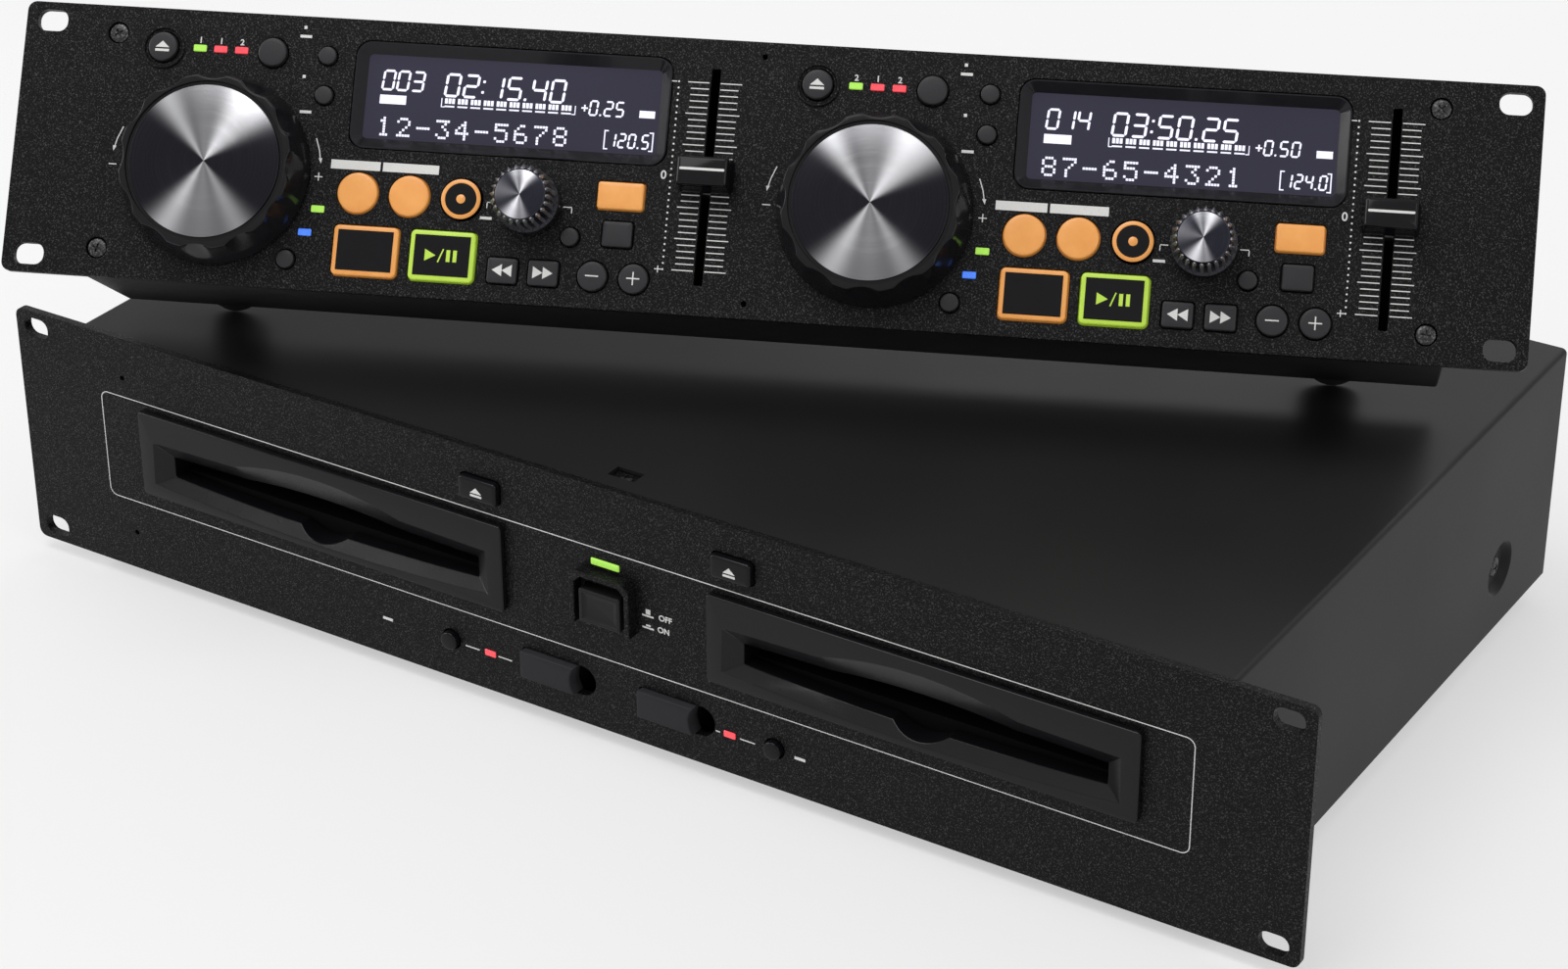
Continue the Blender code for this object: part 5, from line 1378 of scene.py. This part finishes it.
CHASSIS_PAINT = folded_steel("chassis_steel", (0.018, 0.018, 0.018))
RUBBER = rubber_finish("foot_rubber", (0.022, 0.022, 0.023))
SOCKET_PLASTIC = satin_finish("socket_plastic", (0.018, 0.018, 0.019), 0.35)
SHEET = 0.0012
SEAT = 0.0003


def box_mesh(name, low, high):
    outline = [(low[0], low[2]), (high[0], low[2]), (high[0], high[2]), (low[0], high[2])]
    return loft(name, [(outline, high[1]), (outline, low[1])])


def with_soft_edges(mesh, width, segments=2, angle=35):
    """Rounds every edge sharper than an angle."""
    work = bmesh.new()
    work.from_mesh(mesh)
    bmesh.ops.remove_doubles(work, verts=work.verts, dist=0.000002)
    bmesh.ops.dissolve_limit(work, angle_limit=math.radians(1), verts=work.verts, edges=work.edges)
    work.to_mesh(mesh)
    work.free()
    item = linked("work", mesh)
    bevel = item.modifiers.new("soft", "BEVEL")
    bevel.width = width
    bevel.segments = segments
    bevel.limit_method = "ANGLE"
    bevel.angle_limit = math.radians(angle)
    bevel.use_clamp_overlap = True
    return plain_mesh(item, mesh.name)


def foot(length, radius=0.0100):
    """A rubber foot along the depth axis, from its wall to its rounded end."""
    profile = [(radius, -0.0006)] + [(r, length - d) for r, d in quarter(radius, 0.0, 0.0012, 4)]
    profile += [(radius * 0.45, length), (radius * 0.40, length - 0.0012), (0.0, length - 0.0012)]
    return turned_mesh("foot", profile)


def link_socket(place):
    """A round recessed socket in a wall: its rim and its cup."""
    profile = [(0.0, -0.0080), (0.0075, -0.0080), (0.0075, 0.0016), (0.0071, 0.0020), (0.0062, 0.0020)]
    profile += [(0.0058, 0.0016), (0.0058, -0.0068), (0.0, -0.0068)]
    shapes = [turned_mesh("link", profile)]
    mesh = together("link", shapes)
    mesh.transform(Matrix.Translation(place))
    return mesh


def link_pins(place):
    pins = []
    for number in range(5):
        angle = math.radians(30 + 60 * number)
        px, pz = 0.0032 * math.cos(angle), 0.0032 * math.sin(angle)
        pins.append(turned_mesh("pin", [(0.00045, -0.0070), (0.00045, -0.0030), (0.0002, -0.0026), (0.0, -0.0026)], 12, px, pz))
    mesh = together("pins", pins)
    mesh.transform(Matrix.Translation(place))
    return mesh


low, high = local_box("control_case", CONTROL)
CASE_REAR = 0.0570
LINK_SHARES = (-0.400, -0.330)
tray_low, tray_high = (low.x, low.y, low.z), (high.x, CASE_REAR, high.z)
outer = with_soft_edges(box_mesh("case", tray_low, tray_high), 0.0010, 3)
inner_low = (low.x + SHEET, low.y - 0.002, low.z + SHEET)
inner_high = (high.x - SHEET, CASE_REAR - SHEET, high.z - SHEET)
case_width = high.x - low.x
holes = [box_mesh("inside", inner_low, inner_high)]
link_places = [(share * case_width, CASE_REAR, PANEL_HEIGHT / 2) for share in LINK_SHARES]
for px, py, pz in link_places:
    holes.append(turned_mesh("hole", [(0.0065, py + 0.002), (0.0065, py - 0.004)], 48, px, pz))
piece("case_tray", cut(outer, *holes), CHASSIS_PAINT, CONTROL, "control_unit", ["control_case"], "chassis_steel")
piece("case_links", together("links", [link_socket(p) for p in link_places]), SOCKET_PLASTIC, CONTROL, "control_unit")
piece("case_pins", together("pins", [link_pins(p) for p in link_places]), STEEL, CONTROL, "control_unit")
feet = []
for side in (-1, 1):
    for level in (low.z + 0.0100, high.z - 0.0100):
        foot_place = Matrix.Translation((side * 0.846 * case_width / 2, CASE_REAR, level))
        feet.append(foot_place)
case_foot = foot(high.y - CASE_REAR)
piece("case_feet", placed_copies(case_foot, feet), RUBBER, CONTROL, "control_unit")


# Player panel: the same plate, with openings for two slot mouths, the keys and the USB caps. The
# guard round the power key and the tab under the cover's window are part of it.
BEZEL_LAP = (0.0035, 0.0021)
bezels = {side: local_box(f"slot_bezel_{side}", PLAYER) for side in (1, 2)}
USB_LEVEL = 0.0157
USB_PLACES = (-0.02259, 0.02259)
USB_SIZE = (0.0210, 0.0098)
USB_WELL = 0.0070


def usb_opening(x, margin=0.0):
    """The cap's opening, with the round finger well at its right end."""
    left = -USB_SIZE[0] / 2 - KEY_GAP - margin
    up = USB_SIZE[1] / 2 + KEY_GAP + margin
    middle = USB_SIZE[0] / 2 + USB_WELL - USB_SIZE[1] / 2 - KEY_GAP
    corner = 0.0013
    outline = arc(up, -math.pi / 2, math.pi / 2, 24, middle)
    outline += arc(corner, math.pi / 2, math.pi, 5, left + corner, up - corner)
    outline += arc(corner, math.pi, 1.5 * math.pi, 5, left + corner, -up + corner)
    return moved(outline, x, USB_LEVEL)


def guard_outline(margin=0.0):
    out, top, low, cut_corner = 0.01125 + margin, 0.0587 + margin, 0.0398 - margin, 0.0024
    inner, roof = out - 0.0018 - 2 * margin, top - 0.0018 - 2 * margin
    return [
        (-out, low), (-inner, low), (-inner, roof - cut_corner), (-inner + cut_corner, roof),
        (inner - cut_corner, roof), (inner, roof - cut_corner), (inner, low), (out, low),
        (out, top - cut_corner), (out - cut_corner, top), (-out + cut_corner, top), (-out, top - cut_corner),
    ]


player_holes = ear_slots()
for low, high in bezels.values():
    across, up = BEZEL_LAP
    size = high - low
    middle = (low + high) / 2
    player_holes.append(rounded(size.x - 2 * across, size.z - 2 * up, 0.0012, middle.x, middle.z))
PLAYER_KEYS = {
    "player_eject_1": 0.0014,
    "player_eject_2": 0.0014,
    "power_button": 0.0006,
}
for name, corner in PLAYER_KEYS.items():
    x, z, width, height, _ = cap_box(name, PLAYER)
    player_holes.append(rounded(width + 2 * KEY_GAP, height + 2 * KEY_GAP, corner + KEY_GAP, x, z))
for name in ("usb_stop_1", "usb_stop_2"):
    x, z, width, _, _ = cap_box(name, PLAYER)
    player_holes.append(circle(width / 2 + KEY_GAP, ROUND, x, z))
for x in USB_PLACES:
    player_holes.append(usb_opening(x))
for level in (0.0734, 0.0143):
    player_holes.append(circle(PIN_HOLE_RADIUS, 16, -0.1956, level))
player_plate = cut_plate("player_plate", panel_edge(), player_holes, 0.0, PANEL_THICKNESS)
guard = cut_plate("guard", guard_outline(), [], -GUARD_PROUD, PANEL_THICKNESS / 2, 0.0003)
tab_top = 0.0861
tab = box_mesh("tab", (-0.007, 0.0015, tab_top - 0.0015), (0.007, 0.0174, tab_top))
piece(
    "player_front",
    together("player_front", [player_plate, guard, tab, *ear_seats(0.0269)]),
    PANEL_PAINT,
    PLAYER,
    "player",
    ["player_panel"],
    "panel_paint",
    12,
)
tab_screw = screw_head(0.0024, 0.0006, 0.0026)
tab_screw.transform(Matrix.Translation((0.0, 0.0125, tab_top + 0.0001)) @ Matrix.Rotation(-math.pi / 2, 4, "X"))
piece("tab_screw", tab_screw, BLACK_ZINC, PLAYER, "player")


# Printing on the player: the outline round both slots, the lead lines beside the USB keys, and
# the marks of the power switch.
OUTLINE = (-0.2058, 0.2045, 0.0266, 0.0664)
left, right_end, bottom, top = OUTLINE
width, height = right_end - left, top - bottom
centre_x, centre_z = (left + right_end) / 2, (bottom + top) / 2
outer_line = rounded(width, height, 0.0030, centre_x, centre_z, 8)
inner_line = rounded(width - 0.0006, height - 0.0006, 0.0027, centre_x, centre_z, 8)
outline_mesh = tube(
    "outline", [(outer_line, 0.0), (outer_line, -INK_PROUD), (inner_line, -INK_PROUD), (inner_line, 0.0)]
)
player_marks = []
for start, end in ((-0.0564, -0.0508), (-0.0433, -0.0379), (0.0404, 0.0420), (0.0494, 0.0549)):
    player_marks.append(bar(start, 0.0140, end, 0.0140, 0.0004))
for start, end in ((-0.0900, -0.0860), (0.0694, 0.0733)):
    player_marks.append(bar(start, 0.0140, end, 0.0140, 0.0010))
for level, raised in ((0.0483, 0.0018), (0.0440, 0.0006)):
    player_marks.append(bar(0.0135, level - 0.0006, 0.0178, level - 0.0006, 0.0006))
    player_marks.append(bar(0.0149, level + raised / 2, 0.0166, level + raised / 2, raised))
figures = [lettering("OFF", 0.0021, 0.0222, 0.0485), lettering("ON", 0.0021, 0.0214, 0.0441)]
printing = together("player_marks", [outline_mesh, ink(player_marks), *figures])
piece("player_marks", printing, WHITE_INK, PLAYER, "player")
red_lenses = together("lenses", [lens_mesh(x, 0.0142, 0.0043, 0.0022) for x in (-0.0464, 0.0456)])
piece("player_red_lamps", red_lenses, RED_LAMP, PLAYER, "player")
piece("power_lamp", lens_mesh(0.0, 0.0614, 0.0106, 0.0023, 0.0006), GREEN_LAMP, PLAYER, "player")


# Slot mouths: moulded black plastic with bowed lips, a scoop for the finger above and a round
# notch below, pressed into the panel.
BEZEL_PLASTIC = satin_finish("bezel_plastic", (0.005, 0.005, 0.006), 0.22, gloss=0.22)
DRIVE_BLACK = satin_finish("drive_black", (0.003, 0.003, 0.003), 0.7, gloss=0.05)
DISC_PLANE = 0.0446
ARCH_SHARE = 0.5


def lips(x, width, lower, lower_bow, upper, upper_bow, arch, steps=64):
    """A mouth's outline: bowed lips at heights from the disc's plane, the upper with an arch."""
    shares = [2 * step / steps - 1 for step in range(steps + 1)]
    below = [(x + width / 2 * t, DISC_PLANE + lower - lower_bow * (1 - t * t)) for t in shares]
    above = []
    for t in shares:
        rise = upper_bow * (1 - t * t) + arch * max(0.0, 1 - (t / ARCH_SHARE) ** 2)
        above.append((x + width / 2 * t, DISC_PLANE + upper + rise))
    return below + above[::-1]


for number, (low, high) in bezels.items():
    middle = (low + high) / 2
    size = high - low
    x, z, proud = middle.x, middle.z, -low.y
    across, up = BEZEL_LAP

    def rim(margin, corner=0.0014):
        return rounded(size.x + 2 * margin, size.z + 2 * margin, corner + margin, x, z)

    collar = rounded(size.x - 2 * across - 0.0006, size.z - 2 * up - 0.0006, 0.0012, x, z)
    levels = [(collar, 0.0065), (collar, -SEAT), (rim(0.0), -SEAT)]
    levels += [(rim(radius), depth) for radius, depth in quarter(0.0, -proud, 0.0006, 4)]
    mouth = lips(x, 0.1374, -0.0064, 0.0032, 0.0092, 0.0012, 0.0046)
    throat = lips(x, 0.1260, -0.0036, 0.0022, 0.0036, 0.0010, 0.0016)
    funnel = loft("funnel", [(throat, 0.0085), (throat, 0.0012), (mouth, -proud), (mouth, -proud - 0.002)])
    half_turn = math.acos(0.0082 / 0.0170)
    notch_outline = arc(0.0170, -math.pi / 2 - half_turn, -math.pi / 2 + half_turn, 40, x, DISC_PLANE + 0.0082)
    notch = loft("notch", [(notch_outline, 0.0085), (notch_outline, -proud - 0.001)])
    bezel = with_soft_edges(cut(loft("bezel", levels), funnel, notch), 0.00025)
    piece(f"mouth_{number}", bezel, BEZEL_PLASTIC, PLAYER, "player", [f"slot_bezel_{number}"], "bezel_plastic", 12)
    drive = frame["nodes"][f"disc_drive_{number}"]
    drive.data.materials[0] = DRIVE_BLACK.material


# Player keys and caps: eject and stop keys in gloss black, a satin power key with a dished face,
# and rubber caps over the USB sockets.
for name in ("player_eject_1", "player_eject_2"):
    x, z, width, height, proud = cap_box(name, PLAYER)
    mesh = cap_mesh(name, square_outline(x, z, width, height, 0.0014), proud - 0.0001, 0.0011)
    piece(f"{name}_cap", mesh, GLOSS_BLACK, PLAYER, name, [name], "gloss_black")
    piece(f"{name}_sign", ink(eject_sign(x, z - 0.0004, 0.0022), -proud), WHITE_INK, PLAYER, name)
for name in ("usb_stop_1", "usb_stop_2"):
    x, z, width, _, proud = cap_box(name, PLAYER)
    mesh = cap_mesh(name, round_outline(x, z, width / 2), proud - 0.0001, 0.0008)
    piece(f"{name}_cap", mesh, GLOSS_BLACK, PLAYER, name, [name], "gloss_black")
x, z, width, height, proud = cap_box("power_button", PLAYER)
outline = square_outline(x, z, width, height, 0.0008)
levels = [
    (outline(FLANGE_LAP), KEY_BACK + 0.0012),
    (outline(FLANGE_LAP), KEY_BACK),
    (outline(0.0), KEY_BACK),
]
levels += [(outline(radius), depth) for radius, depth in quarter(0.0, -proud, 0.0005, 4)]
levels += [(outline(-0.0012), -proud), (outline(-0.0015), -proud + 0.0003), (outline(-0.0030), -proud + 0.0006)]
POWER_PLASTIC = satin_finish("power_plastic", (0.009, 0.009, 0.010), gloss=0.16)
piece("power_cap", loft("power", levels), POWER_PLASTIC, PLAYER, "power_button", ["power_button"], "key_plastic")

CAP_RUBBER = rubber_finish("cap_rubber", (0.015, 0.015, 0.017))


def cap_outline_at(x):
    def outline(margin):
        half, up = USB_SIZE[0] / 2 + margin, USB_SIZE[1] / 2 + margin
        corner = max(0.0009 + margin, 0.0002)
        shares = [2 * step / 12 - 1 for step in range(13)]
        points = [(half - 0.0016 * (1 - t * t), up * t) for t in shares]
        points += arc(corner, math.pi / 2, math.pi, 4, -half + corner, up - corner)
        points += arc(corner, math.pi, 1.5 * math.pi, 4, -half + corner, -up + corner)
        return moved(points, x, USB_LEVEL)

    return outline


sockets, tongues = [], []
for number, x in enumerate(USB_PLACES, start=1):
    node = f"usb_cap_{number}"
    outline = cap_outline_at(x)
    levels = [(outline(0.0), PANEL_THICKNESS)]
    levels += [(outline(radius), depth) for radius, depth in quarter(0.0, -0.0025, 0.0005, 3)]
    levels.append((outline(-0.0014), -0.0026))
    tongue = rounded(0.0119, 0.0044, 0.0004, x, USB_LEVEL)
    plug = loft("plug", [(tongue, 0.0123), (tongue, PANEL_THICKNESS - 0.0004)])
    cap = together("cap", [loft("cap", levels), plug])
    piece(f"cap_{number}", cap, CAP_RUBBER, PLAYER, node, [node], "cap_rubber")
    post = box_mesh("post", (x - 0.0075, 0.0033, 0.0031), (x + 0.0075, 0.0173, 0.0201))
    port = box_mesh("port", (x - 0.00625, 0.0013, 0.0132), (x + 0.00625, 0.0135, 0.0182))
    sockets.append(cut(post, port))


# Cover: one folded sheet over the top and both sides, painted satin black. Its screws sit in
# round dishes pressed into the sides, and a small window in the top shows the panel's tab.
COVER_PAINT = folded_steel("cover_paint", (0.014, 0.014, 0.014))
low, high = local_box("player_cover", PLAYER)
FRONT, REAR = low.y, high.y
LEVEL = 0.0250
DISHES = (FRONT + 0.0420, REAR - 0.0424)


def bent_sheet(half, bottom_edge, top_edge, radius):
    """Half of the cover's section: outside corner to inside corner, for one radius."""
    return [(half, bottom_edge)] + arc(radius, 0.0, math.pi / 2, 6, half - radius, top_edge - radius)


right_side = bent_sheet(high.x, low.z, high.z, 0.0018)
inside = bent_sheet(high.x - SHEET, low.z, high.z - SHEET, 0.0006)
section = right_side + [(-px, pz) for px, pz in right_side[::-1]] + [(-px, pz) for px, pz in inside] + inside[::-1]
sheet = loft("cover", [(section, REAR), (section, FRONT)])
cups, dishes, screws = [], [], []
side_screw = screw_head(0.0035, 0.0009, 0.0036)
for side in (-1, 1):
    for depth in DISHES:
        across = Matrix.Translation((0.0, depth, LEVEL)) @ Matrix.Rotation(-side * math.pi / 2, 4, "Z")
        wall = high.x
        cup = turned_mesh("cup", [(0.0107, wall - 0.0040), (0.0107, wall - 0.0006)])
        profile = [(0.0055, wall - 0.0028), (0.0070, wall - 0.0026), (0.0084, wall - 0.0012), (0.0091, wall - 0.0003), (0.0097, wall + 0.00001), (0.0097, wall + 0.002)]
        dish = turned_mesh("dish", profile)
        cup.transform(across)
        dish.transform(across)
        cups.append(cup)
        dishes.append(dish)
        # The head faces outwards, which is the opposite way along the turned depth axis.
        outwards = across @ Matrix.Translation((0.0, wall - 0.0022, 0.0)) @ Matrix.Rotation(math.pi, 4, "Z")
        screws.append(outwards)
window = box_mesh("window", (-0.0050, FRONT + 0.0063, high.z - 0.003), (0.0050, FRONT + 0.0121, high.z + 0.002))
sheet = cut(sheet, *cups, operation="UNION")
sheet = cut(sheet, *dishes, window)
piece("cover_sheet", sheet, COVER_PAINT, PLAYER, "player", ["player_cover"], "cover_paint", 26)
piece("cover_screws", placed_copies(side_screw, screws), BLACK_ZINC, PLAYER, "player")


# Chassis: floor, sides and rear wall in one folded sheet, on four rubber feet. The rear wall holds
# phono jacks in pairs, two link sockets and the mains inlet.
low, high = local_box("player_chassis", PLAYER)
FLOOR_LEVEL = 0.00245
REAR_WALL = 0.2479
tray_low, tray_high = (low.x, low.y, FLOOR_LEVEL), (high.x, REAR_WALL, high.z)
chassis_width = high.x - low.x
outer = box_mesh("tray", tray_low, tray_high)
inside_low = (low.x + SHEET, low.y - 0.002, FLOOR_LEVEL + SHEET)
inside_high = (high.x - SHEET, REAR_WALL - SHEET, high.z + 0.002)
cuts = [box_mesh("inside", inside_low, inside_high)]
for side in (-1, 1):
    for depth in DISHES:
        hole = turned_mesh("hole", [(0.0110, high.x - 0.004), (0.0110, high.x + 0.004)], 32)
        hole.transform(Matrix.Translation((0.0, depth, LEVEL)) @ Matrix.Rotation(-side * math.pi / 2, 4, "Z"))
        cuts.append(hole)
JACK_LEVEL = 0.0440
link_places = [(share * chassis_width, REAR_WALL, JACK_LEVEL) for share in LINK_SHARES]
for px, py, pz in link_places:
    cuts.append(turned_mesh("hole", [(0.0065, py + 0.002), (0.0065, py - 0.004)], 48, px, pz))
inlet_x = 0.380 * chassis_width
cuts.append(
    box_mesh("inlet_hole", (inlet_x - 0.0145, REAR_WALL - 0.004, 0.0330), (inlet_x + 0.0145, REAR_WALL + 0.002, 0.0550))
)
tray = together("chassis", [cut(outer, *cuts), *sockets])
piece("chassis_tray", tray, CHASSIS_PAINT, PLAYER, "player", ["player_chassis"], "chassis_steel")
piece("player_links", together("links", [link_socket(p) for p in link_places]), SOCKET_PLASTIC, PLAYER, "player")
piece("player_pins", together("pins", [link_pins(p) for p in link_places]), STEEL, PLAYER, "player")
inlet_block = box_mesh("inlet", (inlet_x - 0.0155, REAR_WALL - 0.0180, 0.0320), (inlet_x + 0.0155, REAR_WALL + 0.0020, 0.0560))
inlet_block = with_soft_edges(inlet_block, 0.0008)
pocket_outline = [(-0.0120, -0.0085), (0.0120, -0.0085), (0.0120, 0.0045), (0.0080, 0.0085), (-0.0080, 0.0085), (-0.0120, 0.0045)]
pocket_outline = moved(pocket_outline, inlet_x, JACK_LEVEL)
pocket = loft("pocket", [(pocket_outline, REAR_WALL + 0.004), (pocket_outline, REAR_WALL - 0.0145)])
piece("inlet", cut(inlet_block, pocket), SOCKET_PLASTIC, PLAYER, "player")
blades = []
for px, pz in ((-0.0070, -0.0020), (0.0, 0.0020), (0.0070, -0.0020)):
    blades.append(
        box_mesh(
            "blade",
            (inlet_x + px - 0.0010, REAR_WALL - 0.0150, JACK_LEVEL + pz - 0.0020),
            (inlet_x + px + 0.0010, REAR_WALL - 0.0030, JACK_LEVEL + pz + 0.0020),
        )
    )
piece("inlet_blades", together("blades", blades), STEEL, PLAYER, "player")
WHITE_JACK = satin_finish("jack_white", (0.60, 0.60, 0.58), 0.35)
RED_JACK = satin_finish("jack_red", (0.55, 0.02, 0.02), 0.35)
for name, side, finish in (("white", 1, WHITE_JACK), ("red", -1, RED_JACK)):
    rings, barrels = [], []
    for share in (-0.155, -0.060, 0.030):
        px, pz = share * chassis_width, JACK_LEVEL + side * 0.0090
        ring = [(0.0062, REAR_WALL - 0.0002), (0.0062, REAR_WALL + 0.0012), (0.0058, REAR_WALL + 0.0016), (0.0041, REAR_WALL + 0.0016), (0.0041, REAR_WALL - 0.0002)]
        rings.append(turned_mesh("ring", ring, ROUND, px, pz))
        barrel = [(0.0, REAR_WALL + 0.0030), (0.0016, REAR_WALL + 0.0030), (0.0016, REAR_WALL + 0.0088), (0.0018, REAR_WALL + 0.0090), (0.0038, REAR_WALL + 0.0090), (0.0041, REAR_WALL + 0.0087), (0.0041, REAR_WALL - 0.0006), (0.0, REAR_WALL - 0.0006)]
        barrels.append(turned_mesh("barrel", barrel, ROUND, px, pz))
    piece(f"{name}_rings", together("rings", rings), finish, PLAYER, "player")
    piece(f"{name}_barrels", together("barrels", barrels), STEEL, PLAYER, "player")
feet = []
player_foot = foot(0.00745)
for side in (-1, 1):
    for depth in (0.0033 + 0.0350, REAR_WALL - 0.0350):
        place = Matrix.Translation((side * (high.x - 0.0350), depth, FLOOR_LEVEL))
        feet.append(place @ Matrix.Rotation(-math.pi / 2, 4, "X"))
piece("player_feet", placed_copies(player_foot, feet), RUBBER, PLAYER, "player")
